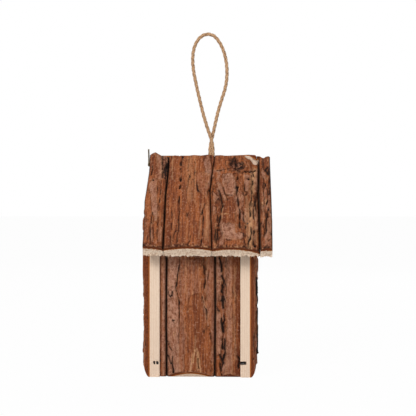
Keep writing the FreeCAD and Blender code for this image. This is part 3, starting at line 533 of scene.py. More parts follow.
@dataclass(frozen=True)
class Finishes:
    """Every finish of the house, made once."""

    bark: Material
    pine: Material
    jute: Material
    steel: Material
    brass: Material

    @classmethod
    def make(cls) -> "Finishes":
        """Makes the five materials.

        Returns:
            The finishes.
        """
        steel = MetalFinish("staple_steel", srgb(92, 90, 88), srgb(38, 34, 32), 0.75)
        brass = MetalFinish("brad_brass", srgb(104, 82, 38), srgb(60, 48, 24), 0.5)
        return cls(
            BarkFinish().material(),
            PineFinish().material(),
            JuteFinish().material(),
            steel.material(),
            brass.material(),
        )


def new_piece(name: str, points: Array, faces: Faces, material: Material) -> Object:
    """A mesh object in the scene.

    Args:
        name: Its name.
        points: Its vertices in millimetres.
        faces: The vertex numbers of each face.
        material: Its finish.

    Returns:
        The object, with no parent yet.
    """
    mesh = bpy.data.meshes.new(name)
    mesh.from_pydata((points * MM).tolist(), [], faces)
    mesh.materials.append(material)
    made = bpy.data.objects.new(name, mesh)
    bpy.context.scene.collection.objects.link(made)
    return made


def set_attribute(made: Object, name: str, values: Array) -> None:
    """Keeps a number or a vector for each vertex.

    Args:
        made: The mesh object.
        name: The attribute's name.
        values: One number or three for each vertex.
    """
    kind, key = ("FLOAT", "value") if values.ndim == 1 else ("FLOAT_VECTOR", "vector")
    attribute = made.data.attributes.new(name, kind, "POINT")
    attribute.data.foreach_set(key, np.ascontiguousarray(values, np.float32).ravel())


def set_bark(made: Object, grain: Array, cover: Array, cut: Array, wood: Array) -> None:
    """Keeps what the bark's finish reads at each vertex."""
    for name, values in (("grain", grain), ("bark", cover), ("cut", cut), ("wood", wood)):
        set_attribute(made, name, values)


def turn_outward(made: Object, sharp_deg: float) -> None:
    """Makes a closed mesh's faces look outward and its shallow edges look round.

    Args:
        made: The mesh object.
        sharp_deg: Edges that turn by more than this stay sharp.
    """
    work = bmesh.new()
    work.from_mesh(made.data)
    bmesh.ops.delete(work, geom=[v for v in work.verts if not v.link_faces], context="VERTS")
    bmesh.ops.recalc_face_normals(work, faces=work.faces)
    work.to_mesh(made.data)
    work.free()
    made.data.shade_smooth()
    made.data.set_sharp_from_angle(angle=math.radians(sharp_deg))


# Bark


class Bark:
    """One slab's bark face while it is worked out: its places, how high they stand and what covers them."""

    def __init__(self, across: Array, along: Array, seed: int) -> None:
        """Starts with a bare face.

        Args:
            across: Each point's place along the slab's row, in the house's frame.
            along: Each point's distance from the slab's lower end.
            seed: What the slab's own noise is drawn from.
        """
        self.across, self.along = across, along
        self.noise = Noise(seed)
        self.lift, self.plate, self.painted_shade_and_flecks, self.highlight_and_pale_streaks = np.zeros((4, *across.shape))
        self.raw, self.tone, self.pit = np.zeros((3, *across.shape))

    def darken(self, amount: Array, cleared: Array | float = 0.0) -> None:
        """Raises the painted shade, with its dark flecks, to at least an amount, after a share of the old is
        cleared away.
        """
        self.painted_shade_and_flecks = np.maximum(self.painted_shade_and_flecks * (1.0 - cleared), amount)

    def wandering(self, width: float, step: float = 5.0) -> tuple[Array, Array]:
        """The places, pushed about so that what is drawn on them gets an uneven edge.

        Args:
            width: How far they are pushed.
            step: How far apart the pushes change.

        Returns:
            The pushed places.
        """
        x, y = self.across / step, self.along / (2.0 * step)
        return (
            self.across + width * self.noise.layered(x + 40.0, y, 3),
            self.along + 2.0 * width * self.noise.layered(x, y + 40.0, 3),
        )


@dataclass(frozen=True)
class Crack:
    """A split that runs along a broken line."""

    points: Outline
    width: float = 0.7
    depth: float = 1.5

    def mark(self, bark: Bark) -> None:
        """Cuts the split into the bark and fills it with painted shade.

        Args:
            bark: The face.
        """
        gap = line_distance(*bark.wandering(1.2, 4.0), self.points)
        width = self.width * (0.95 + 0.9 * bark.noise.layered(bark.across / 3.0, bark.along / 6.0, 2))
        whole = smooth(-0.55, -0.2, bark.noise.layered(bark.across / 8.0 + 5.0, bark.along / 9.0 + 8.0, 2))
        cut = whole * bell(gap, np.maximum(width, 0.15))
        bark.lift -= self.depth * cut
        # painted shade in the split
        bark.darken(cut * min(1.0, 0.45 + 0.35 * self.depth))


@dataclass(frozen=True)
class Plate:
    """A scale of older bark that stands over the rest, or a dip where one has come off; edge sets the
    painted shade round it and dark the painted shade that fills it.
    """

    points: Outline
    lift: float = 0.9
    grey: float = 0.9
    warm: float = 0.0
    ragged: float = 1.8
    edge: float = 0.8
    dark: float = 0.0

    def mark(self, bark: Bark) -> None:
        """Raises the scale, paints shade along its edge and a highlight just inside it.

        Args:
            bark: The face.
        """
        depth = within(*bark.wandering(self.ragged, 5.0), self.points)
        body = smooth(0.0, 0.9, depth)
        worn = 0.85 + 0.5 * bark.noise.layered(bark.across / 5.0 + 70.0, bark.along / 10.0, 3)
        bark.lift += self.lift * body
        bark.plate = bark.plate * (1.0 - body) + self.grey * body * worn
        bark.tone += self.warm * body
        broken = smooth(-0.15, 0.3, bark.noise.layered(bark.across / 6.0 + 9.0, bark.along / 11.0, 2))
        line = self.edge * broken * bell(depth + 0.3, 0.5)
        bark.darken(np.maximum(line, self.dark * body), 0.6 * body)
        bark.highlight_and_pale_streaks = np.maximum(bark.highlight_and_pale_streaks * (1.0 - body), 0.35 * (1.0 - broken) * bell(depth - 0.8, 0.6))


@dataclass(frozen=True)
class Streaks:
    """Pale scratches along a broken line."""

    points: Outline
    width: float = 0.8
    strength: float = 1.0

    def mark(self, bark: Bark) -> None:
        """Lightens the bark along the line."""
        gap = line_distance(*bark.wandering(0.8, 3.0), self.points)
        bark.highlight_and_pale_streaks = np.maximum(bark.highlight_and_pale_streaks, self.strength * bell(gap, self.width))


@dataclass(frozen=True)
class Knot:
    """A dead branch's stub with the bark rolled up round it."""

    middle: Point
    across: float
    along: float

    def mark(self, bark: Bark) -> None:
        """Sinks the stub, rolls up its collar and darkens it: a darker tone on the stub, painted shade in
        it, round its ring and in its folds' troughs, and painted light on the folds' crests.

        Args:
            bark: The face.
        """
        x, y = bark.wandering(0.9, 4.0)
        out = np.hypot((x - self.middle[0]) / self.across, (y - self.middle[1]) / self.along)
        stub = 1.0 - smooth(0.75, 1.1, out)
        rough = bark.noise.layered(x / 4.2 + 3.0 * out, y / 1.7, 3)
        grain = bark.noise.layered(bark.across / 1.3 + 31.0, bark.along / 1.5, 2)
        wave = 11.0 * out + 4.0 * bark.noise.layered(x / 5.0, y / 5.0, 2)
        fold = np.sin(wave) * bell(out - 1.6, 0.45)
        bark.lift += 1.1 * bell(out - 1.45, 0.32) + stub * (0.9 * rough - 0.8) + 0.35 * fold
        bark.plate = bark.plate * (1.0 - stub) + 0.8 * stub * smooth(0.1, 0.5, rough + grain)
        bark.tone += 0.3 * fold - 0.6 * stub
        whole = smooth(-0.5, 0.1, bark.noise.layered(x / 5.0 + 7.0, y / 5.0, 2))
        ring = bell(out - 1.0, 0.16) * whole
        dark = np.maximum(stub * (0.86 - 0.75 * smooth(-0.25, 0.35, 0.6 * rough + grain)), 0.85 * ring)
        bark.darken(np.clip(np.maximum(dark, -0.5 * fold), 0.0, 0.95), stub)


@dataclass(frozen=True)
class Chip:
    """A place where bark has broken off down to the wood."""

    points: Outline
    depth: float = 1.8
    bare: float = 1.0

    def mark(self, bark: Bark) -> None:
        """Sinks the place, bares its wood and paints shade round its edge.

        Args:
            bark: The face.
        """
        depth = within(*bark.wandering(1.4, 4.0), self.points)
        body = smooth(-0.2, 0.7, depth)
        bark.lift -= self.depth * body
        bark.raw = np.maximum(bark.raw, self.bare * body)
        bark.darken(0.7 * bell(depth + 0.5, 0.4), body)


@dataclass(frozen=True)
class Hole:
    """A beetle's hole or a lost twig."""

    middle: Point
    radius: float = 1.3
    depth: float = 2.6

    def mark(self, bark: Bark) -> None:
        """Sinks the hole and fills it with painted shade.

        Args:
            bark: The face.
        """
        gap = np.hypot(bark.across - self.middle[0], (bark.along - self.middle[1]) * 0.75)
        body = 1.0 - smooth(0.6 * self.radius, 1.3 * self.radius, gap)
        bark.lift -= self.depth * body
        bark.darken(body)


@dataclass(frozen=True)
class Wear:
    """Bark rubbed or pared down round a place."""

    middle: Point
    radius: float
    depth: float

    def mark(self, bark: Bark) -> None:
        """Lowers the bark towards the middle of the worn place."""
        gap = np.hypot(bark.across - self.middle[0], bark.along - self.middle[1])
        bark.lift -= self.depth * (1.0 - smooth(0.3 * self.radius, self.radius, gap))


@dataclass(frozen=True)
class Bore:
    """The part of the cord's hole that goes through one slope."""

    middle: Point
    across: float
    along: float
    depth: float = 9.0

    def mark(self, bark: Bark) -> None:
        """Sinks the hole through the bark into the wood and fills it with painted shade.

        Args:
            bark: The face.
        """
        x, y = bark.across - self.middle[0], bark.along - self.middle[1]
        body = 1.0 - smooth(0.85, 1.05, np.hypot(x / self.across, y / self.along))
        bark.pit = np.maximum(bark.pit, self.depth * body)
        bark.darken(0.9 * body)


Feature = Crack | Plate | Streaks | Knot | Chip | Hole | Wear | Bore
CORD_BORE = Bore((2.9, 141.0), 4.5, 4.6)


@dataclass(frozen=True)
class BarkStyle:
    """How one slab's bark has grown and weathered, in millimetres and shares."""

    plate_width: float
    plate_length: float
    plate_lift: float
    plate_share: float
    fissure_apart: float
    fissure_width: float
    fissure_depth: float
    flake_lift: float
    fibre_lift: float
    warmth: float

    def grow(self, bark: Bark) -> None:
        """Covers a bare face with plates, fissures, flakes, fibres and flecks, with painted shade along the
        plates' edges, in the fissures and under the flakes' edges, and a painted highlight along the flakes'
        edges.

        Args:
            bark: The face.
        """
        noise = bark.noise
        x, y = bark.wandering(2.2, 7.0)
        broken = smooth(-0.2, 0.3, noise.layered(x / 7.0 + 50.0, y / 16.0, 2))
        swell = noise.layered(x / self.plate_width, y / self.plate_length, 4)
        level = swell - np.quantile(swell, 1.0 - self.plate_share)
        old = smooth(0.0, 0.12, level)
        bark.lift += self.plate_lift * (old + 0.8 * swell)
        bark.plate += old * (0.75 + 0.5 * noise.layered(x / 4.0, y / 9.0 + 20.0, 3))
        # painted shade along the plates' edges
        bark.darken(0.75 * broken * bell(level + 0.035, 0.035))

        line = noise.layered(x / self.fissure_apart + 13.0, y / (6.0 * self.fissure_apart) + 29.0, 3)
        uneven = 1.0 + 0.8 * noise.layered(x / 4.0 + 80.0, y / 9.0, 2)
        parted = smooth(-0.1, 0.3, noise.layered(x / 14.0 + 70.0, y / 30.0, 3))
        fissure = parted * bell(line, self.fissure_width / self.fissure_apart * uneven)
        bark.lift -= self.fissure_depth * fissure
        # painted shade in the fissures
        bark.darken(0.95 * fissure)

        rise = 2.8 * noise.layered(x / 6.5 + 31.0, y / 40.0 + 17.0, 4)
        share = rise - np.floor(rise)
        bark.lift += self.flake_lift * (np.floor(rise) + smooth(0.8, 1.0, share))
        edge = min(1.0, 2.2 * self.flake_lift)
        # painted shade under the flakes' edges and a painted highlight along them
        bark.darken(0.55 * edge * broken * bell(share - 0.9, 0.06))
        bark.highlight_and_pale_streaks += 0.4 * edge * (1.0 - broken) * bell(share - 0.76, 0.08)

        coarse = noise.layered(x / 2.6, y / 60.0, 2)
        fine = noise.layered(bark.across / 1.1, bark.along / 20.0, 3)
        bark.lift += self.fibre_lift * (0.6 * coarse + 0.5 * fine)
        bark.tone += self.warmth + 0.45 * coarse + 0.35 * fine + 0.6 * noise.layered(x / 13.0, y / 40.0, 2)
        fleck = noise.value(bark.across / 0.95 + 90.0, bark.along / 3.4)
        patch = smooth(-0.15, 0.35, noise.layered(x / 11.0 + 20.0, y / 24.0 + 90.0, 3))
        bark.darken(0.6 * patch * smooth(0.5, 0.8, fleck))
        bark.highlight_and_pale_streaks += 0.3 * patch * smooth(0.62, 0.85, -fleck)


RUGGED = BarkStyle(7.0, 20.0, 0.9, 0.36, 6.5, 0.62, 1.7, 0.42, 0.30, -0.10)
PLATED = BarkStyle(9.0, 24.0, 0.9, 0.34, 9.0, 0.55, 1.5, 0.40, 0.28, -0.05)
STREAKED = BarkStyle(5.0, 60.0, 0.5, 0.36, 6.0, 0.40, 0.9, 0.28, 0.26, 0.0)
SMOOTH = BarkStyle(14.0, 70.0, 0.4, 0.22, 13.0, 0.40, 0.8, 0.22, 0.24, 0.05)
FIBROUS = BarkStyle(16.0, 110.0, 0.25, 0.06, 13.0, 0.30, 0.6, 0.14, 0.32, 0.05)


# Slabs


class Facing(Enum):
    """The six faces of the house that are laid with slabs."""

    ROOF_A = "roof_a"
    ROOF_B = "roof_b"
    SIDE_A = "side_a"
    SIDE_B = "side_b"
    FRONT = "front"
    BACK = "back"

    @property
    def is_roof(self) -> bool:
        """Whether the face is a slope of the roof."""
        return self in (Facing.ROOF_A, Facing.ROOF_B)

    @property
    def is_gable(self) -> bool:
        """Whether the face is a gable."""
        return self in (Facing.FRONT, Facing.BACK)

    @property
    def slab_count(self) -> int:
        """How many slabs the face is laid with."""
        return 4 if self.is_roof else 3

    @property
    def sign(self) -> float:
        """Which way the face looks along its axis."""
        return -1.0 if self in (Facing.ROOF_A, Facing.SIDE_A, Facing.BACK) else 1.0


@dataclass(frozen=True)
class House:
    """The sizes of the house that its pieces are cut to, in millimetres and degrees.

    Places on the roof and on the side walls are measured along the ridge from the middle of the house.
    """

    pitch_deg: float = 50.0
    apex: float = 229.5
    ridge: float = 247.5
    roof_run: float = 79.6
    eave: float = 134.64
    wall_inner: float = 51.5
    front_inner: float = 37.25
    back_inner: float = -51.95
    middle: float = 0.55
    wall_edge: float = 9.0
    gable_edge: float = 11.5
    roof_edge: float = 8.5
    wall_bevel_deg: float = 47.0
    foot_curve: float = 0.33
    foot_height: float = 13.0
    seam: float = 0.15
    entrance_radius: float = 16.0
    entrance_height: float = 125.0
    pivot: Spot = (3.45, 0.0, 249.75)
    cord_spacing: float = 4.1
    cord_diameter: float = 3.7

    def edge(self, facing: Facing) -> float:
        """The thickness of a slab's sawn edge on one face."""
        upright = self.gable_edge if facing.is_gable else self.wall_edge
        return self.roof_edge if facing.is_roof else upright


@dataclass(frozen=True)
class Pocket:
    """A staple's dent in a gable's sawn edge: its height, its place in the thickness and its size."""

    up: float
    out: float
    tall: float
    wide: float
    slant: float = 0.0
    depth: float = 1.4


@dataclass(frozen=True)
class Slab:
    """One bark slab that stands for the solid of the same name.

    The wood's thickness is given at one side, at a place between and at the other side. The bark lies on it.
    """

    house: House
    facing: Facing
    number: int
    wood: tuple[float, float, float, float]
    bark: float
    style: BarkStyle
    seed: int
    features: tuple[Feature, ...] = ()
    crest: Outline = ()
    end_shift: Point = (0.0, 0.0)
    first_side: Outline = ()
    last_side: Outline = ()
    rounded: Point = (1.0, 1.0)
    pockets: tuple[Pocket, ...] = ()
    bored: bool = False
    step: float = 0.85

    LEVEL_ROWS: ClassVar[Point] = (60.0, 150.0)
    END_REACH: ClassVar[float] = 8.0
    SIDE_FALL: ClassVar[float] = 2.4
    RIDGE_ZONE: ClassVar[Point] = (118.0, 130.0)
    LIP_FALL: ClassVar[float] = 0.5
    LEAST_BARK: ClassVar[float] = 0.35
    SQUARE_OF_CIRCLE: ClassVar[float] = 0.886

    @property
    def name(self) -> str:
        """The name of the solid that the slab stands for."""
        return f"{self.facing.value}_slab_{self.number}"

    @property
    def joined(self) -> tuple[bool, bool]:
        """Whether another slab lies against its first side and against its last."""
        return self.number > 1, self.number < self.facing.slab_count

    def span(self) -> Point:
        """Where the slab starts and ends along its row, in the house's frame."""
        axis = 1 if self.facing.is_gable else 0
        return tuple(corner[axis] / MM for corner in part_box(self.name))

    def wood_top(self, share: Array) -> Array:
        """How thick the wood is over the slab's width.

        Args:
            share: From 0 at one side to 1 at the other.

        Returns:
            The thickness.
        """
        left, at, middle, right = self.wood
        return np.polyval(np.polyfit((0.0, at, 1.0), (left, middle, right), 2), share)

    def drift(self, share: Array, along: Array) -> Array:
        """How far the slab's uneven sides move its places along the row.

        Args:
            share: From 0 at one side to 1 at the other.
            along: From its lower end.

        Returns:
            The shift of each place.
        """
        first = np.interp(along, *zip(*self.first_side)) if self.first_side else 0.0
        last = np.interp(along, *zip(*self.last_side)) if self.last_side else 0.0
        return first * (1.0 - share) + last * share

    def place(self, across: Array, along: Array, out: Array) -> Array:
        """Points of the house's frame.

        Args:
            across: Along the slab's row.
            along: From the slab's lower end.
            out: Outward from its inner face.

        Returns:
            One point for each place.
        """
        house, sign = self.house, self.facing.sign
        if self.facing.is_roof:
            pitch = math.radians(house.pitch_deg)
            y = sign * (house.roof_run - along * math.cos(pitch) + out * math.sin(pitch))
            return np.stack([across, y, house.eave + along * math.sin(pitch) + out * math.cos(pitch)], -1)
        if self.facing.is_gable:
            inner = house.front_inner if self.facing is Facing.FRONT else house.back_inner
            return np.stack([inner + sign * out, across, along], -1)
        return np.stack([across, sign * (house.wall_inner + out), along], -1)

    def low_end(self, across: Array, out: Array) -> Array:
        """Where the slab starts along its length.

        Args:
            across: Along the slab's row.
            out: Outward from its inner face.

        Returns:
            The start for each place.
        """
        if self.facing.is_roof:
            return np.interp(across, self.span(), self.end_shift) + 0.0 * out
        past = np.maximum(0.0, out - self.house.edge(self.facing))
        if self.facing.is_gable:
            return np.minimum(self.house.foot_curve * past**2, self.house.foot_height)
        return past * math.tan(math.radians(self.house.wall_bevel_deg))

    def high_end(self, across: Array, out: Array) -> Array:
        """Where the slab ends along its length.

        Args:
            across: Along the slab's row.
            out: Outward from its inner face.

        Returns:
            The end for each place.
        """
        house = self.house
        pitch = math.radians(house.pitch_deg)
        if self.facing.is_roof:
            mitre = (house.roof_run - house.seam + out * math.sin(pitch)) / math.cos(pitch)
            crest = np.interp(across - house.middle, *zip(*self.crest)) if self.crest else house.ridge
            return np.minimum(mitre, (crest - house.eave - out * math.cos(pitch)) / math.sin(pitch))
        run = np.abs(across) if self.facing.is_gable else house.wall_inner + out
        return house.apex - house.seam - run * math.tan(pitch)

    def levels(self) -> tuple[float, ...]:
        """Heights at which rows of points run level: one on a gable, and two where it is bored."""
        return self.LEVEL_ROWS[:self.facing.is_gable * (1 + self.bored)]

    def rows(self) -> Array:
        """The rows of points along the slab: a stretch between two levels and a share of it for each.

        Returns:
            The stretch's number and the share, in two columns.
        """
        across = np.linspace(*self.span(), 9)
        top = self.high_end(across, np.full(9, self.house.edge(self.facing))).max()
        levels = [0.0, *self.levels(), top]
        found = [(0.0, 0.0)]
        for stretch, (low, high) in enumerate(zip(levels, levels[1:])):
            count = max(2, round((high - low) / self.step))
            found += [(float(stretch), k / count) for k in range(1, count + 1)]
        return np.array(found)

    def along(self, across: Array, out: Array, rows: Array) -> Array:
        """Where rows lie along the slab.

        Args:
            across: Along the slab's row.
            out: Outward from its inner face.
            rows: The stretch and the share of each place's row, in two columns.

        Returns:
            The distance from the lower end for each place.
        """
        ends = [self.low_end(across, out), *self.levels(), self.high_end(across, out)]
        ends = np.stack([np.broadcast_to(e, across.shape) for e in ends])
        stretch = rows[..., 0].astype(int)[None]
        low, high = (np.take_along_axis(ends, stretch + k, 0)[0] for k in (0, 1))
        return low + (high - low) * rows[..., 1]

    def trimmed(self, across: Array, along: Array, top: Array, out: Array, pit: Array) -> Array:
        """Fits the grid's ends to the slab's end cuts once the bark has its height.

        Args:
            across: The grid's places along the slab's row.
            along: The grid's places along its length, for the smooth bark.
            top: The smooth bark's height.
            out: The grown bark's height.
            pit: How deep holes go below that.

        Returns:
            The places along the slab's length.
        """
        low, high = self.low_end(across, top), self.high_end(across, top)
        near_low = np.clip(1.0 - (along - low) / self.END_REACH, 0.0, 1.0)
        near_high = np.clip(1.0 - (high - along) / self.END_REACH, 0.0, 1.0)
        start, end = self.low_end(across, out), self.high_end(across, out)
        moved = along + near_low * (start - low) + near_high * (end - high)
        return np.clip(moved, start, self.high_end(across, out - pit))

    def grown(self, across: Array, along: Array, share: Array) -> Bark:
        """The slab's bark over a grid of places.

        Args:
            across: Along the slab's row.
            along: From its lower end.
            share: From 0 at one side to 1 at the other.

        Returns:
            The bark.
        """
        bark = Bark(across - self.house.middle * (not self.facing.is_gable), along, self.seed)
        self.style.grow(bark)
        for feature in self.features:
            feature.mark(bark)
        start, end = self.span()
        width = 1.7 + 0.9 * bark.noise.layered(across / 5.0 + 3.0, along / 7.0, 3)
        whole = 1.0 - 0.8 * self.facing.is_roof * smooth(*self.RIDGE_ZONE, along)
        # rounded sides fall away and take painted shade where they turn from the light
        for amount, inward in zip(self.rounded, (share, 1.0 - share)):
            fall = amount * (1.0 - smooth(0.0, 1.0, inward * (end - start) / np.maximum(width, 0.5)))
            bark.lift -= self.SIDE_FALL * fall * whole
            bark.darken(0.9 * np.clip(fall, 0.0, 1.0) ** 1.4)
        if self.facing.is_roof:
            # the eave's broken lip sinks and takes a darker tone with painted shade where it rounds over,
            # and pale crumbs
            broken = 4.6 + 2.6 * bark.noise.layered(across / 4.0, along / 4.0 + 60.0, 3)
            lip = 1.0 - smooth(0.2, 1.0, (along - self.low_end(across, along)) / np.maximum(broken, 1.2))
            bark.lift -= self.LIP_FALL * lip
            bark.tone -= 0.8 * lip
            bark.plate *= 1.0 - lip
            crumb = bark.noise.layered(across / 1.6 + 25.0, along / 1.9, 2)
            bark.darken(lip * np.clip(0.3 + 1.1 * crumb, 0.0, 0.85))
            bark.highlight_and_pale_streaks += 0.7 * lip * smooth(0.15, 0.5, -crumb)
        bark.lift = np.maximum(bark.lift, self.LEAST_BARK - self.bark)
        return bark

    def round_entrance(self, across: Array, along: Array) -> tuple[Array, Array, Array]:
        """Bends the grid round the entrance, so that a square of its cells becomes the bored circle.

        Args:
            across: The grid's places along the slab's row.
            along: The grid's places along its length.

        Returns:
            The bent places, and which cells lie inside the circle.
        """
        middle = sum(self.span()) / 2.0
        u, v = across - middle, along - self.house.entrance_height
        radius = self.house.entrance_radius
        i = np.flatnonzero(np.abs(u[:, 0]) <= self.SQUARE_OF_CIRCLE * radius)
        j = np.flatnonzero(np.abs(v[0]) <= self.SQUARE_OF_CIRCLE * radius)
        level = (v[0, j[0]] + v[0, j[-1]]) / 2.0
        a, b = u / np.abs(u[i[0], 0]), (v - level) / (v[0, j[-1]] - level)
        square = np.maximum(np.abs(a), np.abs(b))
        weight = 1.0 - smooth(1.0, 1.5, square)
        ray = radius * square / np.maximum(np.hypot(a, b), 1e-6)
        inside = np.zeros((u.shape[0] - 1, u.shape[1] - 1), bool)
        inside[i[0]:i[-1], j[0]:j[-1]] = True
        u, v = (c + weight * (ray * d - c) for c, d in ((u, a), (v, b)))
        return u + middle, v + self.house.entrance_height, inside

    def sunk(self, along: Array, out: Array) -> Array:
        """How deep the staples pressed in a sawn edge.

        Args:
            along: Places along the slab's length.
            out: Places in its thickness.

        Returns:
            The depth of each place.
        """
        depth = np.zeros(along.shape)
        for pocket in self.pockets:
            up = (along - pocket.up - pocket.slant * (out - pocket.out)) / (pocket.tall / 2.0)
            side = (out - pocket.out) / (pocket.wide / 2.0)
            outside = np.maximum(np.abs(up), np.abs(side))
            depth = np.maximum(depth, pocket.depth * (1.0 - smooth(0.7, 1.15, outside)))
        return depth

    def build(self, finish: Material) -> Object:
        """Makes the slab's mesh: the bark face, its sawn sides and its inner face.

        Args:
            finish: The bark's material.

        Returns:
            The mesh object.
        """
        start, end = self.span()
        rows = self.rows()
        columns = 2 * round((end - start) / self.step / 2.0) + 1
        shape = (columns, len(rows))
        share = np.broadcast_to(np.linspace(0.0, 1.0, columns)[:, None], shape)
        rows = np.broadcast_to(rows[None], (*shape, 2))
        across = start + share * (end - start)
        along = self.along(across, self.wood_top(share) + self.bark, rows)
        inside = np.zeros((shape[0] - 1, shape[1] - 1), bool)
        if self.bored:
            across, along, inside = self.round_entrance(across, along)
            share = (across - start) / (end - start)
        top = self.wood_top(share) + self.bark
        bark = self.grown(across + self.drift(share, along), along, share)
        out = top + bark.lift
        along = self.trimmed(across, along, top, out, bark.pit)
        return SlabMesh(self, across, along, out - bark.pit, bark, rows, inside).finished(finish)


class SlabMesh:
    """The vertices and faces of one slab while they are put together."""

    BARK_LEVELS: ClassVar[int] = 6
    WOOD_LEVELS: ClassVar[int] = 5
    POCKET_LEVELS: ClassVar[int] = 18
    JOINT_OVERLAP: ClassVar[float] = 0.37
    FRAY_SEED: ClassVar[int] = 500
    GRAIN_SHIFT: ClassVar[float] = 331.0
    GRAIN_SHIFTS: ClassVar[int] = 29
    SHARP_DEG: ClassVar[float] = 52.0

    def __init__(
        self, slab: Slab, across: Array, along: Array, out: Array, bark: Bark, rows: Array, inside: Array
    ) -> None:
        """Starts with the bark face.

        Args:
            slab: The slab.
            across: The grid's places along the slab's row, before its sides drift.
            along: The grid's places along its length.
            out: The grid's heights over the inner face.
            bark: What covers the face.
            rows: The stretch and share of each place's row.
            inside: The cells that the entrance takes away.
        """
        self.slab = slab
        self.rows = rows.reshape(-1, 2)
        numbers = np.arange(across.size).reshape(across.shape)
        cells = np.stack([numbers[:-1, :-1], numbers[1:, :-1], numbers[1:, 1:], numbers[:-1, 1:]], -1)
        self.faces = [tuple(cell) for cell in cells[~inside].tolist()]
        self.across, self.along, self.out = across.ravel(), along.ravel(), out.ravel()
        self.inward = np.zeros(across.size)
        self.cover = np.stack([bark.plate, bark.painted_shade_and_flecks, bark.highlight_and_pale_streaks], -1).reshape(-1, 3)
        self.cut = np.stack([0.0 * bark.tone + 2.0, bark.tone, 0.0 * bark.tone], -1).reshape(-1, 3)
        self.wood = np.stack([bark.raw, 0.0 * bark.raw, 0.0 * bark.raw], -1).reshape(-1, 3)
        self.loops = [self.outline(numbers)]
        if inside.any():
            i, j = np.nonzero(inside)
            self.loops.append(self.outline(numbers[i.min():i.max() + 2, j.min():j.max() + 2])[::-1])

    @staticmethod
    def outline(numbers: Array) -> list[int]:
        """The vertex numbers round a block of the grid."""
        sides = [numbers[:-1, 0], numbers[-1, :-1], numbers[:0:-1, -1], numbers[0, :0:-1]]
        return np.concatenate(sides).tolist()

    def add_rim(self, loop: list[int], bored: bool) -> list[int]:
        """Adds the sawn faces from a loop on the bark face down to the inner face.

        Args:
            loop: The loop's vertex numbers.
            bored: Whether it is the wall of the entrance.

        Returns:
            The loop's vertex numbers on the inner face.
        """
        slab = self.slab
        across, out = self.across[loop], self.out[loop]
        edge = np.minimum(slab.house.edge(slab.facing), out)
        start, end = slab.span()
        wood = slab.wood_top((across - start) / (end - start))
        coarse, fine = self.BARK_LEVELS, self.POCKET_LEVELS if slab.pockets else self.WOOD_LEVELS
        levels = [edge + (out - edge) * (1.0 - k / coarse) for k in range(1, coarse + 1)]
        levels += [edge * (1.0 - k / fine) for k in range(1, fine + 1)]
        first, last = np.isclose(across, start), np.isclose(across, end)
        side = first * 1.0 - last * 1.0
        butted = first * slab.joined[0] + last * slab.joined[1]
        torn = slab.facing.is_roof * (self.rows[loop] == 0.0).all(-1)
        noise = Noise(slab.seed + self.FRAY_SEED)
        empty, tone, previous = np.zeros(len(loop)), self.cut[loop, 1], loop
        for level in levels:
            along = self.along[loop] if bored else slab.along(across, level, self.rows[loop])
            fray = 0.9 * noise.layered(across / 1.1, level / 1.1, 2)
            pulled = 0.6 + 1.8 * noise.layered(across / 1.5 + 40.0, empty, 3)
            fray -= pulled * (1.0 - smooth(0.0, 3.0, level))
            along = along + torn * fray * smooth(0.0, 1.0, out - level)
            pressed = slab.sunk(along, level) * np.abs(side)
            depth = pressed - self.JOINT_OVERLAP * butted * smooth(1.5, 3.5, out - level)
            row = list(range(self.across.size, self.across.size + len(loop)))
            self.across = np.append(self.across, across)
            self.along = np.append(self.along, along)
            self.out = np.append(self.out, level)
            self.inward = np.append(self.inward, side * depth)
            # painted shade in the staples' dents and on the sawn sides where slabs butt, less at the torn
            # eave end
            dark = np.maximum(np.clip(pressed / 0.9, 0.0, 1.0), (0.8 - 0.5 * torn) * butted)
            self.cover = np.vstack([self.cover, np.stack([empty, dark, empty], -1)])
            self.cut = np.vstack([self.cut, np.stack([wood - level, tone, empty + 1.0], -1)])
            self.wood = np.vstack([self.wood, np.stack([empty, torn * 1.0, empty], -1)])
            turned = zip(previous, previous[1:] + previous[:1], row[1:] + row[:1], row)
            self.faces += [tuple(face) for face in turned]
            previous = row
        return previous

    def finished(self, finish: Material) -> Object:
        """Closes the mesh and keeps what its finish needs.

        Args:
            finish: The bark's material.

        Returns:
            The mesh object.
        """
        slab = self.slab
        ends = [self.add_rim(loop, number > 0) for number, loop in enumerate(self.loops)]
        flat = [[Vector((self.across[n], self.along[n], 0.0)) for n in end] for end in ends]
        joined = [n for end in ends for n in end]
        self.faces += [tuple(joined[k] for k in triangle) for triangle in tessellate_polygon(flat)]
        start, end = slab.span()
        across = self.across + self.inward + slab.drift((self.across - start) / (end - start), self.along)
        made = new_piece(f"{slab.name}_bark", slab.place(across, self.along, self.out), self.faces, finish)
        offset = self.GRAIN_SHIFT * (slab.seed % self.GRAIN_SHIFTS)
        grain = np.stack([across + offset, self.along + offset, self.out], -1) * MM
        set_bark(made, grain, self.cover, self.cut, self.wood)
        turn_outward(made, self.SHARP_DEG)
        return made


@dataclass(frozen=True)
class SlabFace:
    """A row of slabs on one face of the house."""

    slabs: tuple[Slab, ...]

    def build(self, finishes: Finishes) -> list[Object]:
        """Makes the slabs and fixes them to the house.

        Args:
            finishes: The finishes of the house.

        Returns:
            The slabs' mesh objects.
        """
        made = []
        for slab in self.slabs:
            piece = slab.build(finishes.bark)
            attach(piece, "house")
            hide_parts(slab.name)
            LOG.info("%s: %d points", piece.name, len(piece.data.vertices))
            made.append(piece)
        return made


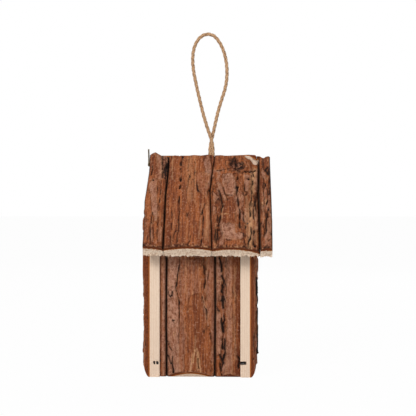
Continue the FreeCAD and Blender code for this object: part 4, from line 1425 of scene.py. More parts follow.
def near_roof(house: House) -> SlabFace:
    """The four slabs of the roof that face the camera.

    Args:
        house: The sizes of the house.

    Returns:
        The row of slabs.
    """
    seam_1 = ((0.0, 0.4), (30.0, 0.2), (70.0, -0.4), (110.0, 0.5), (140.0, 0.3))
    seam_2 = ((0.0, 0.9), (25.0, 0.2), (55.0, -1.4), (83.0, -2.6), (108.0, -0.8), (128.0, 1.4), (140.0, 1.8))
    seam_3 = ((0.0, 0.6), (40.0, 0.3), (80.0, -0.2), (110.0, 0.5), (140.0, 0.0))
    left = ((0.0, 0.0), (40.0, -0.6), (66.0, -2.0), (83.0, -0.9), (110.0, 0.4), (140.0, 0.0))
    right = ((0.0, 0.0), (35.0, 0.5), (80.0, 0.2), (140.0, -0.4))
    one = (
        Plate((
            (-63.5, 99), (-67, 88), (-64, 71), (-61.5, 50), (-57.5, 34), (-55.3, 36), (-55, 50), (-56.8, 71),
            (-58, 97),
        ), 1.1, 1.05, 0.0, 1.0, 1.0),
        Plate(((-55, 136), (-47.9, 136), (-48.3, 96), (-52.4, 106.5)), 0.9, 0.55, -0.5),
        Plate(((-62.5, 30), (-60, 31), (-57.5, 14), (-58, 6), (-61, 10)), 0.8, 0.7),
        Plate(((-53.9, 31), (-49.3, 27), (-48.6, 8), (-52.5, 9)), 0.8, 0.6),
        Crack(((-54, 96), (-53.2, 70), (-52.6, 44), (-53.8, 31)), 0.5, 1.2),
        Crack(((-60, 48), (-61.5, 28), (-60, 4)), 0.6, 1.2),
        Plate(((-66, 134), (-58.5, 136), (-57.5, 104), (-65, 102)), 0.0, 0.0, -0.7, 2.5, 0.0),
        Plate(((-54.5, 96), (-48, 96), (-48, 32), (-53, 32)), 0.0, 0.0, -0.6, 2.0, 0.0),
        Crack(((-64.6, 117), (-64.3, 103)), 0.7, 1.5),
        Crack(((-54.2, 134), (-53.4, 118), (-51.4, 100)), 0.6, 1.4),
        Crack(((-50.2, 131), (-49.5, 119), (-50.6, 107)), 0.9, 1.8),
        Crack(((-48.4, 125), (-49.0, 111), (-48.4, 100)), 0.9, 1.8),
        Crack(((-52.6, 124), (-51.6, 112)), 0.7, 1.5),
        Streaks(((-55.2, 134), (-54.2, 116), (-52.2, 98)), 0.6, 0.7),
        Hole((-51.8, 127.0), 0.8),
        Hole((-62.5, 95.0), 1.1),
    )
    two = (
        Plate(((-14.9, 106), (1.5, 106), (-0.1, 68), (-9.6, 80)), 0.2, 0.3, 0.6, 3.5, 0.1),
        Plate(((-2.7, 59), (2.4, 59), (3.5, 7), (-0.9, 7)), 0.5, 0.35, 0.5, 1.2),
        Crack(((-30.5, 131), (-31.9, 120.7), (-31.5, 111)), 1.1, 2.0),
        Crack(((-31.5, 111), (-31.3, 97), (-31.6, 84)), 0.5, 1.0),
        Crack(((-31.3, 97), (-31.6, 84)), 1.1, 2.0),
        Crack(((-31.4, 71), (-31.2, 67.5), (-30.9, 60)), 0.9, 1.8),
        Crack(((-30.9, 60), (-30.6, 41.5), (-30.4, 37)), 0.5, 1.0),
        Crack(((-30.4, 37), (-30.9, 15), (-31.1, 6)), 0.6, 1.2),
        Crack(((-40.1, 56), (-38.4, 33), (-38.6, 13), (-38, 3)), 0.5, 1.0),
        Crack(((-4.7, 50), (-3.8, 28.5), (-4.1, 13), (-6.2, 2.4)), 0.7, 1.3),
        Crack(((-2.2, 62), (-6.3, 44)), 0.55, 1.0),
        Crack(((-17, 13), (-18.4, 4.5)), 0.6, 1.0),
        Streaks(((-36.8, 60), (-36, 34), (-36.6, 6)), 0.5, 0.35),
        Streaks(((-22, 44), (-21, 20), (-22.5, 5)), 0.5, 0.3),
        Streaks(((-15.5, 136), (-14.6, 92), (-13.6, 60)), 0.45, 0.8),
        Streaks(((-42.2, 136), (-41.0, 98)), 0.5, 0.8),
        Streaks(((-22, 138), (-21, 95), (-19, 66)), 4.5, 0.3),
        Streaks(((0.2, 66), (0.4, 40), (-0.6, 10)), 1.4, 0.45),
        Streaks(((-5.5, 60), (-6.8, 35), (-8, 11)), 0.8, 0.5),
        Hole((1.9, 83), 1.5),
        CORD_BORE,
    )
    three = (
        Plate(((14, 70), (31, 70), (33, 56), (33, 34), (16, 33), (15, 48)), -0.5, 0.0, -0.7, 2.5, 0.3),
        Plate((
            (16, 104.8), (27.1, 106.4), (31.8, 90.8), (30.7, 71), (20.4, 74), (15, 92.4),
        ), 1.2, 1.1, 0.0, 1.1, 1.0),
        Plate(((6, 137), (23, 138), (23, 114), (6, 112)), 0.2, 0.0, -0.1, 2.0, 0.0),
        Plate(((9.3, 95), (13.7, 93), (22.5, 66), (19.2, 64.5), (11.5, 84)), 0.8, 0.9, 0.0, 0.9, 1.0),
        Plate(((5.6, 80), (12.4, 71), (6.9, 60.5)), 0.9, 1.0, 0.0, 0.9, 1.0),
        Plate(((5.4, 58), (10, 57), (9.5, 46), (6, 45)), 0.7, 0.8),
        Plate(((44, 58), (51, 60), (52, 12), (45, 8)), 0.4, 0.45, 0.6, 1.6, 0.3),
        Plate((
            (15.3, 31.3), (31, 32.1), (30.9, 20), (39.7, 19), (39.7, 11), (17.8, 9),
        ), 1.1, 1.05, 0.0, 0.9, 1.0),
        Plate(((39.9, 106.3), (49.2, 106.3), (45.6, 83.1), (42.1, 80.1)), 1.0, 1.0, 0.0, 1.0, 1.0),
        Crack(((33.5, 106.3), (34.1, 92.3), (33, 71), (35.9, 50.2), (35.9, 25.6)), 0.9, 1.9),
        Crack(((12.3, 80), (17.2, 59), (14, 41.4), (13.1, 24.2)), 0.9, 1.9),
        Crack(((9.1, 31.3), (9, 7.3)), 0.7, 1.5),
        Crack(((33.6, 100), (33.2, 86), (33.0, 76)), 1.1, 2.0),
        Crack(((12.2, 48), (11.8, 30)), 0.9, 1.8),
        Crack(((11.6, 27), (11.2, 10), (10.8, 2)), 0.8, 1.7),
        Crack(((42.2, 30), (41.6, 12), (42.6, 1)), 0.7, 1.5),
        Crack(((51.0, 57), (51.4, 42)), 0.9, 1.8),
        Crack(((51.0, 25), (50.3, 6)), 0.9, 1.8),
        Streaks(((19.5, 45.6), (23.5, 44.8)), 0.8, 1.0),
        Streaks(((43.5, 76), (43, 40), (44.5, 12)), 1.2, 0.6),
        Streaks(((53.4, 117), (51.0, 104), (50.0, 92), (49.6, 80)), 2.6, 1.1),
        Streaks(((48.4, 104), (48.2, 88), (48.8, 72)), 1.2, 0.8),
        Streaks(((48.6, 66), (47.6, 44), (47.8, 22), (47.0, 4)), 3.0, 1.0),
        Streaks(((53.6, 66), (53.2, 34), (53.8, 8)), 0.8, 0.8),
        Streaks(((17, 62), (16.6, 40)), 0.8, 0.8),
        Streaks(((9.8, 32), (9.7, 18), (9.4, 5)), 0.6, 0.7),
        Crack(((40.5, 92), (39.5, 62), (41, 34)), 0.6, 1.3),
        Crack(((51.6, 111), (49, 71), (46.6, 59), (48.6, 21.4), (44.1, 0.5)), 0.8, 1.7),
        Knot((33.0, 118.0), 8.2, 6.8),
        Crack(((9.5, 111), (21.2, 113.5), (34.1, 109.5), (48.1, 111), (54, 115.8)), 0.9, 1.7),
        Hole((46.0, 100.0), 1.3),
        Hole((52.3, 6), 1.6),
        Chip(((36, 137.5), (44, 132), (55.5, 124.5), (57, 133), (48, 139.5), (38, 143)), 0.8, 0.75),
        Streaks(((39, 138.5), (47, 135), (55, 129.5)), 1.6, 0.9),
        Crack(((29, 139.5), (37, 140.5), (47, 138.8), (56.5, 133)), 0.7, 0.9),
        CORD_BORE,
    )
    four = (
        Plate(((60.4, 114.2), (62.5, 114), (67.7, 98.5), (65.5, 94), (61, 103.2)), 1.0, 0.9),
        Plate(((59.5, 58), (63, 60), (62.5, 34), (60, 30)), 0.5, 0.7),
        Plate(((65.5, 40), (70, 42), (69.5, 14), (66, 10)), 0.5, 0.7),
        Crack(((64.1, 92.3), (62.6, 71), (66.8, 50.2), (64.2, 28.5), (61.7, 13)), 0.45, 1.0),
        Streaks(((60.8, 63), (62, 58)), 1.0, 1.0),
        Streaks(((65, 65), (65.6, 59)), 1.0, 1.0),
    )
    crest_1 = (
        (-68.7, 247.7), (-65.5, 250.1), (-62.5, 251.3), (-59.5, 249.5), (-55.3, 247.1), (-51.2, 246.8),
        (-47.5, 245.9),
    )
    crest_2 = (
        (-45.8, 246.5), (-39.9, 247.5), (-30.9, 245.9), (-18.4, 247.7), (-10.1, 247.1), (-2.9, 248.3),
        (4.5, 247),
    )
    crest_3 = (
        (5.3, 247.7), (12.6, 247.7), (17.3, 246.9), (26.9, 247.1), (36.4, 247.6), (44.7, 246.9), (53.1, 246),
        (57, 244.6),
    )
    crest_4 = ((57.8, 245.5), (60, 244.8), (63.8, 243.9), (66.2, 245.6), (69.2, 246.3), (71.1, 245.2))
    slab, level = partial(Slab, house, Facing.ROOF_A), (0.0, 0.0)
    return SlabFace((
        slab(1, (11.0, 0.4, 10.8, 8.8), 5.0, SMOOTH, 11, one, crest_1, (1.5, 0.0), left, seam_1),
        slab(2, (8.8, 0.5, 12.7, 8.8), 5.0, FIBROUS, 12, two, crest_2, level, seam_1, seam_2, (1.0, 0.6)),
        slab(3, (7.5, 0.4, 11.0, 3.2), 5.0, PLATED, 13, three, crest_3, level, seam_2, seam_3, (0.6, 1.0)),
        slab(4, (9.6, 0.5, 10.3, 10.2), 5.0, STREAKED, 14, four, crest_4, (-1.0, -1.0), seam_3, right),
    ))


def far_roof(house: House) -> SlabFace:
    """The four slabs of the other slope.

    Args:
        house: The sizes of the house.

    Returns:
        The row of slabs.
    """
    seam_1 = ((0.0, -0.4), (45.0, 0.5), (90.0, -0.3), (140.0, 0.2))
    seam_2 = ((0.0, 0.5), (50.0, -0.6), (100.0, 0.6), (140.0, 0.0))
    seam_3 = ((0.0, -0.3), (60.0, 0.6), (105.0, -0.5), (140.0, 0.2))
    closing = (*seam_3[:-1], (118.0, -0.2), (128.0, 0.6), (140.0, 0.85))
    one = (
        Plate(((-64, 92), (-57, 96), (-55, 70), (-58, 52), (-63, 60)), 1.1, 1.0),
        Plate(((-50, 122), (-41, 118), (-42, 90), (-47, 84), (-51, 100)), 1.0, 0.9),
        Plate(((-55, 40), (-46, 44), (-44, 18), (-52, 12)), 1.0, 0.9),
        Crack(((-53, 130), (-52, 98), (-53.5, 66), (-50, 40), (-57, 8)), 0.9, 1.9),
        Crack(((-43, 80), (-39.5, 52), (-41, 22)), 0.8, 1.6),
    )
    two = (
        Knot((-13.0, 66.0), 7.0, 8.0),
        Crack(((-13, 128), (-12, 104), (-13.5, 84)), 0.7, 1.4),
        Crack(((-14, 48), (-12, 26), (-13, 4)), 0.7, 1.4),
        Crack(((-27, 100), (-26, 62), (-28, 30)), 0.5, 1.0),
        Plate(((-1, 52), (6, 56), (7.5, 20), (1, 14)), 0.6, 0.6, 0.3),
        CORD_BORE,
        Wear((2.9, 133.0), 14.0, 2.4),
    )
    three = (
        Crack(((24, 131), (23, 96), (25, 60), (24, 30), (25.5, 4)), 0.6, 1.3),
        Crack(((43, 110), (44.5, 76), (42, 44)), 0.6, 1.2),
        Plate(((30, 78), (39, 82), (40, 40), (33, 34)), 0.5, 0.6, 0.3),
        Streaks(((17, 90), (18, 56)), 1.0, 0.7),
        Streaks(((36, 30), (35, 6)), 1.0, 0.7),
    )
    four = (
        Plate(((58, 100), (65, 104), (67, 72), (60, 66)), 1.0, 0.9),
        Crack(((62, 132), (60, 104), (63, 58), (61, 22)), 0.8, 1.7),
    )
    crest_3 = ((11.9, 247.0), (24.0, 247.4), (36.4, 248.0), (44.7, 248.4), (53.1, 248.0), (54.7, 247.4))
    crest_4 = ((55.5, 246.8), (59.0, 246.4), (63.8, 243.9), (71.1, 245.0))
    slab = partial(Slab, house, Facing.ROOF_B)
    return SlabFace((
        slab(1, (8.2, 0.5, 11.4, 8.2), 3.2, RUGGED, 21, one, last_side=seam_1),
        slab(2, (8.2, 0.5, 14.5, 8.2), 3.2, SMOOTH, 22, two, first_side=seam_1, last_side=seam_2),
        slab(3, (8.2, 0.5, 12.6, 8.2), 3.2, FIBROUS, 23, three, crest_3, (0.0, 0.0), seam_2, closing),
        slab(4, (8.2, 0.5, 10.2, 8.6), 3.2, PLATED, 24, four, crest_4, first_side=seam_3),
    ))


def near_side(house: House) -> SlabFace:
    """The three slabs of the side wall that faces the camera.

    Args:
        house: The sizes of the house.

    Returns:
        The row of slabs.
    """
    left_plate = (
        (-29.8, 131.7), (-30.7, 122), (-33.2, 109), (-34.2, 98), (-30.8, 82), (-30.2, 69), (-31.3, 58),
        (-31.3, 47.2), (-30.3, 27.6), (-28.3, 0), (-50, 0), (-50, 180), (-30, 180),
    )
    left_layer = (
        (-21.9, 180), (-21.9, 129.8), (-21.9, 96.4), (-25.8, 73.8), (-21.9, 47.3), (-25.8, 0), (-50, 0),
        (-50, 180),
    )
    right_plate = (
        (-1.8, 180), (-1.8, 125.9), (-0.8, 106.3), (-3.2, 94.5), (-1.3, 86.6), (1.7, 62.1), (4.1, 47.4),
        (6.6, 37.6), (4.6, 18), (6, 0), (12, 0), (12, 180),
    )
    two = (
        # darker tone at the top of the wall, just under the eave: painted shadow of the eave
        Plate(((-24, 170), (-2, 170), (-4, 118), (-22, 114)), 0.0, 0.0, -0.7, 4.0, 0.0),
        Plate(left_layer, 0.4, 0.4, 0.0, 1.4, 0.25),
        Plate(left_plate, 0.9, 1.12, 0.0, 1.2, 0.9),
        Plate(((-24, 130), (-8.5, 130), (-7, 95), (-18, 89), (-22.5, 77)), 0.3, 0.35, 0.2, 1.2, 0.4),
        Plate(right_plate, 0.7, 0.5, 0.0, 2.2, 0.5),
        Plate(((-2.0, 118), (1.2, 116), (0.8, 106), (-1.6, 104)), 0.7, 0.9, 0.0, 0.9, 0.8),
        Plate(((-6.2, 92), (-3.5, 92), (0.5, 72), (2, 56), (-0.3, 56), (-3, 72)), 0.5, 0.8, 0.0, 0.9, 0.7),
        Crack(((-30.4, 124), (-33.0, 109), (-34.0, 98), (-30.6, 82), (-30.0, 66)), 0.6, 1.4),
        Crack(((-3.7, 124), (-3.4, 116), (-2.2, 106), (-2.6, 97)), 0.8, 1.7),
        Crack(((-5.7, 89), (-1.6, 75), (1.2, 60), (3.9, 43)), 0.6, 1.3),
        Crack((
            (-37.7, 98.3), (-37.8, 92.4), (-40.1, 89.3), (-42.6, 90.9), (-43.1, 94.4), (-40.6, 96.8),
        ), 0.9, 1.9),
        Crack(((-36.7, 63.9), (-38.6, 61.9), (-37.7, 60), (-40.6, 58)), 0.85, 1.7),
        Crack(((-43.1, 37.3), (-38.6, 29.5), (-38.6, 21.6), (-36.7, 5)), 0.8, 1.6),
        Crack(((-44.1, 23.6), (-38.6, 13.8), (-36.7, 5)), 0.9, 1.8),
        Streaks(((-12.8, 45), (-13.6, 28)), 0.8, 0.45),
        Streaks(((-13.4, 31), (-15.2, 16)), 0.5, 1.5),
        Streaks(((-15.4, 26), (-18.7, 4)), 0.9, 0.9),
        Streaks(((-11.1, 31.6), (-10.2, 8)), 1.0, 1.0),
        Streaks(((-9.4, 28), (-6.9, 4)), 0.7, 1.2),
        Crack(((-9.6, 20), (-9.2, 11)), 0.5, 0.9),
    )
    three = (
        Plate(((20.5, 150), (28.0, 150), (28.3, 0), (21.5, 0)), 0.4, 0.75, 0.0, 1.4, 0.4),
        Plate(((9, 150), (11.5, 150), (16, 118), (16.4, 84), (13.5, 82), (9, 84)), 0.5, 1.0),
        Plate(((9, 72), (15.5, 74), (16.5, 48), (15.4, 26), (9, 22)), 0.5, 1.0),
        Plate(((29, 150), (38, 150), (38, 0), (29, 0)), 0.0, 0.0, -0.5, 1.2, 0.0),
        Crack((
            (13.5, 131.8), (16.4, 116.1), (17.9, 106.3), (16.4, 94.5), (18.4, 84.7), (17.9, 76.9),
            (19.3, 64.1), (17.4, 57.3), (17.9, 47.5), (19.3, 39.6), (20.3, 27.9), (17.9, 19), (16.4, 8.2),
        ), 1.2, 2.3),
        Crack(((16.8, 90), (17.4, 76)), 1.0, 2.2),
        Crack(((15.8, 64), (17.2, 50)), 1.1, 2.2),
        Crack(((16.6, 48), (17.6, 29)), 1.2, 2.4),
        Crack(((14.0, 25), (18.4, 16)), 1.3, 2.2),
        Crack(((14.5, 14), (16.0, 4)), 1.1, 2.2),
        Streaks(((10.5, 105.5), (17.0, 106.5)), 0.7, 0.9),
        Crack(((33, 28), (35, 18), (34, 10)), 0.9, 1.4),
        Streaks(((30.5, 120), (30, 70), (31, 20)), 0.9, 0.5),
    )
    one = (
        Plate(((-50, 160), (-44, 160), (-44, 0), (-50, 0)), 0.0, 1.0, 0.0, 1.2, 0.2),
        Plate(((-54, 160), (-50.5, 160), (-51, 0), (-54, 0)), 0.0, 0.8, 0.0, 1.2, 0.0),
    )
    seam_1 = ((0.0, 0.3), (60.0, -0.2), (130.0, 0.2))
    seam_2 = ((0.0, -0.2), (70.0, 0.3), (140.0, 0.0))
    slab = partial(Slab, house, Facing.SIDE_A)
    return SlabFace((
        slab(1, (6.0, 0.5, 7.2, 6.0), 3.0, STREAKED, 31, one, rounded=(0.3, 1.0), last_side=seam_1),
        slab(2, (7.0, 0.5, 13.1, 7.0), 2.0, FIBROUS, 35, two, first_side=seam_1, last_side=seam_2),
        slab(3, (6.0, 0.5, 8.6, 6.0), 3.0, STREAKED, 33, three, first_side=seam_2, rounded=(1.0, 0.3)),
    ))


def far_side(house: House) -> SlabFace:
    """The three slabs of the other side wall.

    Args:
        house: The sizes of the house.

    Returns:
        The row of slabs.
    """
    one = (
        Plate(((-49, 118), (-42, 122), (-40, 84), (-47, 78)), 0.8, 0.8),
        Crack(((-36, 130), (-37.5, 92), (-35, 48), (-36, 8)), 0.8, 1.6),
        Streaks(((-29, 60), (-28, 22)), 0.9, 0.8),
    )
    two = (
        Knot((-4.0, 78.0), 5.2, 6.4),
        Crack(((-4, 130), (-3, 108), (-5, 92)), 0.7, 1.4),
        Crack(((-4.5, 62), (-3, 34), (-5, 6)), 0.7, 1.4),
        Plate(((4, 60), (11, 64), (10, 26), (5, 22)), 0.8, 0.8),
    )
    three = (
        Crack(((24, 138), (25.5, 96), (23.5, 52), (25, 6)), 1.0, 2.0),
        Plate(((28, 96), (34, 98), (33, 50), (29, 46)), 0.7, 0.8),
    )
    seam = ((0.0, 0.2), (60.0, -0.3), (140.0, 0.2))
    slab = partial(Slab, house, Facing.SIDE_B)
    return SlabFace((
        slab(1, (6.4, 0.5, 9.6, 6.4), 2.6, SMOOTH, 41, one, rounded=(0.3, 1.0), last_side=seam),
        slab(2, (6.4, 0.5, 10.6, 6.4), 2.6, PLATED, 42, two, first_side=seam, last_side=seam),
        slab(3, (6.4, 0.5, 8.8, 6.4), 2.6, STREAKED, 43, three, first_side=seam, rounded=(1.0, 0.3)),
    ))


def front_gable(house: House) -> SlabFace:
    """The three slabs of the gable with the entrance.

    Args:
        house: The sizes of the house.

    Returns:
        The row of slabs.
    """
    one = (
        Crack(((-52, 160), (-50.5, 110), (-52, 60), (-51, 22)), 1.2, 2.0),
        Crack(((-38, 178), (-36, 120), (-39, 70), (-37, 20)), 0.9, 2.0),
        Plate(((-47, 132), (-41, 138), (-41, 92), (-46, 84)), 1.2, 0.9),
        # a raised strip filled with painted shade, black where the gable's edge turns from the light
        Plate(((-51, 108), (-47.5, 110), (-47, 26), (-50, 24)), 2.1, 0.0, 0.0, 0.8, 0.9, 0.95),
    )
    two = (
        Crack(((-17, 196), (-20, 160), (-20.4, 126), (-18, 60), (-17, 10)), 0.8, 1.8),
        Crack(((11, 190), (13, 152)), 0.8, 1.8),
        Crack(((8, 104), (10, 60), (8.5, 14)), 0.8, 1.8),
        Knot((-6.0, 54.0), 5.0, 6.0),
        Plate(((-8, 196), (4, 200), (5, 164), (-5, 158)), 1.0, 0.8),
    )
    three = (
        Crack(((36, 170), (34.5, 118), (37, 66), (35, 12)), 1.0, 2.2),
        Crack(((52, 156), (53.5, 104), (51, 54)), 0.9, 2.0),
        Plate(((41, 96), (48, 100), (47, 50), (42, 44)), 1.2, 0.9),
    )
    pocket = (Pocket(15.6, 3.0, 3.4, 6.6, 0.03, 1.8),)
    slab, wood = partial(Slab, house, Facing.FRONT), (11.0, 0.5, 13.0, 11.0)
    return SlabFace((
        slab(1, wood, 4.6, RUGGED, 51, one, rounded=(0.0, 1.0), pockets=pocket),
        slab(2, (11.0, 0.5, 13.4, 11.0), 4.6, SMOOTH, 52, two, bored=True),
        slab(3, wood, 4.6, PLATED, 53, three, rounded=(1.0, 0.0), pockets=pocket),
    ))


def back_gable(house: House) -> SlabFace:
    """The three slabs of the gable behind.

    Args:
        house: The sizes of the house.

    Returns:
        The row of slabs.
    """
    one = (
        Crack(((-50, 160), (-51.5, 108), (-49, 58), (-51, 10)), 1.0, 2.2),
        Plate(((-42, 150), (-32, 156), (-31, 96), (-39, 90)), 1.1, 0.9),
        Crack(((-29, 180), (-28, 130), (-30, 72), (-28, 20)), 0.9, 2.0),
    )
    two = (
        Knot((4.0, 138.0), 6.5, 7.5),
        Crack(((4, 210), (5.5, 180), (3.5, 158)), 0.9, 1.8),
        Crack(((3, 118), (5, 70), (3.5, 12)), 0.9, 1.8),
        Crack(((-11, 170), (-12.5, 110), (-10, 50)), 0.6, 1.3),
        Wear((0.0, 234.0), 60.0, 3.4),
    )
    three = (
        Crack(((45, 160), (46.5, 110), (44, 56), (46, 10)), 1.1, 2.4),
        Plate(((49, 120), (57, 126), (56, 78), (50, 70)), 1.0, 0.9),
    )
    dots = (Pocket(15.8, 5.8, 3.0, 2.3, 0.25, 1.8), Pocket(15.4, 2.2, 3.2, 2.8, 0.1, 1.8))
    slab, wood = partial(Slab, house, Facing.BACK), (11.3, 0.5, 13.0, 11.3)
    return SlabFace((
        slab(1, wood, 5.8, PLATED, 61, one, rounded=(0.0, 1.0), pockets=dots),
        slab(2, (11.0, 0.5, 13.4, 11.0), 5.8, FIBROUS, 62, two),
        slab(3, wood, 5.8, STREAKED, 63, three, rounded=(1.0, 0.0), pockets=dots),
    ))


@dataclass(frozen=True)
class EaveFibres:
    """Torn fibres that hang from the sawn ends of one slope's slabs, in millimetres."""

    face: SlabFace
    seed: int
    per_length: float = 2.6
    shortest: float = 0.4
    longest: float = 3.2
    thickness: float = 0.36
    rooted: float = 0.3
    inset: float = 0.5
    sharp_deg: float = 60.0

    FIRST_SEED: ClassVar[int] = 81
    CORNERS: ClassVar[Spot] = (0.4, 2.5, 4.6)

    def build(self, finishes: Finishes) -> Object:
        """Makes the fibres as one piece and fixes it to the house.

        Args:
            finishes: The finishes of the house.

        Returns:
            The mesh object.
        """
        draw = np.random.default_rng(self.seed)
        roots, tips = [], []
        for slab in self.face.slabs:
            start, end = slab.span()
            count = round((end - start) * self.per_length)
            across = draw.uniform(start + self.inset, end - self.inset, count)
            wood = slab.wood_top((across - start) / (end - start))
            out = wood * draw.beta(0.8, 2.0, count)
            low = slab.low_end(across, out)
            length = draw.exponential(1.0, count) + self.shortest
            length = np.clip(length, self.shortest, self.longest)
            roots.append(slab.place(across, low + self.rooted, out))
            sway = draw.normal(0.0, 0.3, count) * length
            tips.append(slab.place(across + sway, low - length, out - 0.25 * length))
        root, tip = np.concatenate(roots), np.concatenate(tips)
        width = self.thickness * draw.uniform(0.5, 1.0, len(root))[:, None]
        turns = [np.array([math.cos(a), 0.4 * math.sin(a), 0.6 * math.sin(a)]) for a in self.CORNERS]
        points = np.stack([*(root + width * turn for turn in turns), tip], 1).reshape(-1, 3)
        faces = [(k, k + b, k + c) for k in range(0, len(points), 4) for b, c in ((1, 2), (2, 3), (3, 1))]
        facing = self.face.slabs[0].facing
        made = new_piece(f"{facing.value}_eave_fibres", points, faces, finishes.bark)
        none = np.zeros(len(points))
        cut = np.stack([none + 3.0, none, none + 1.0], -1)
        wood = np.stack([none, none + 0.4, none], -1)
        set_bark(made, points * MM, np.zeros((len(points), 3)), cut, wood)
        turn_outward(made, self.sharp_deg)
        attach(made, "house")
        LOG.info("%s: %d fibres", made.name, len(root))
        return made


# Cord


def spline_points(name: str, points: Sequence[Sequence[float]]) -> Array:
    """Points read from the smooth spline that has a route's points as its control points.

    Args:
        name: What the spline is called while it exists.
        points: The route in millimetres.

    Returns:
        The points along the spline, in millimetres.
    """
    curve = bpy.data.curves.new(name, "CURVE")
    curve.dimensions = "3D"
    curve.resolution_u = 24
    spline = curve.splines.new("NURBS")
    spline.points.add(len(points) - 1)
    for control, place in zip(spline.points, points):
        control.co = (place[0] * MM, place[1] * MM, place[2] * MM, 1.0)
    spline.order_u = 3
    spline.use_endpoint_u = True
    line = bpy.data.objects.new(name, curve)
    mesh = bpy.data.meshes.new_from_object(line)
    found = np.zeros(3 * len(mesh.vertices))
    mesh.vertices.foreach_get("co", found)
    bpy.data.meshes.remove(mesh)
    bpy.data.objects.remove(line)
    bpy.data.curves.remove(curve)
    return found.reshape(-1, 3) / MM


def unit(vectors: Array) -> Array:
    """Vectors scaled to a length of 1."""
    return vectors / np.linalg.norm(vectors, axis=-1, keepdims=True)


def carried_frames(path: Array) -> tuple[Array, Array]:
    """Two directions across a path at each of its points, which turn no more than the path does.

    Args:
        path: The points.

    Returns:
        The first and the second direction at each point.
    """
    tangent = unit(np.gradient(path, axis=0))
    first = np.zeros_like(path)
    start = np.cross(tangent[0], (0.3, 1.0, 0.2))
    for k, along in enumerate(tangent):
        start = unit(start - along * (start @ along))
        first[k] = start
    return first, np.cross(tangent, first)


def tube_faces(rings: int, around: int) -> Faces:
    """The faces of a closed tube.

    Args:
        rings: How many rings of points it has.
        around: How many points each ring has.

    Returns:
        The sides and the two ends, as rows of point numbers.
    """
    numbers = np.arange(rings * around).reshape(-1, around)
    turned = np.roll(numbers, -1, axis=1)
    sides = np.stack([numbers[:-1], turned[:-1], turned[1:], numbers[1:]], -1).reshape(-1, 4)
    ends = (numbers[0].tolist(), numbers[-1].tolist())
    return [tuple(face) for face in (*sides.tolist(), *ends)]


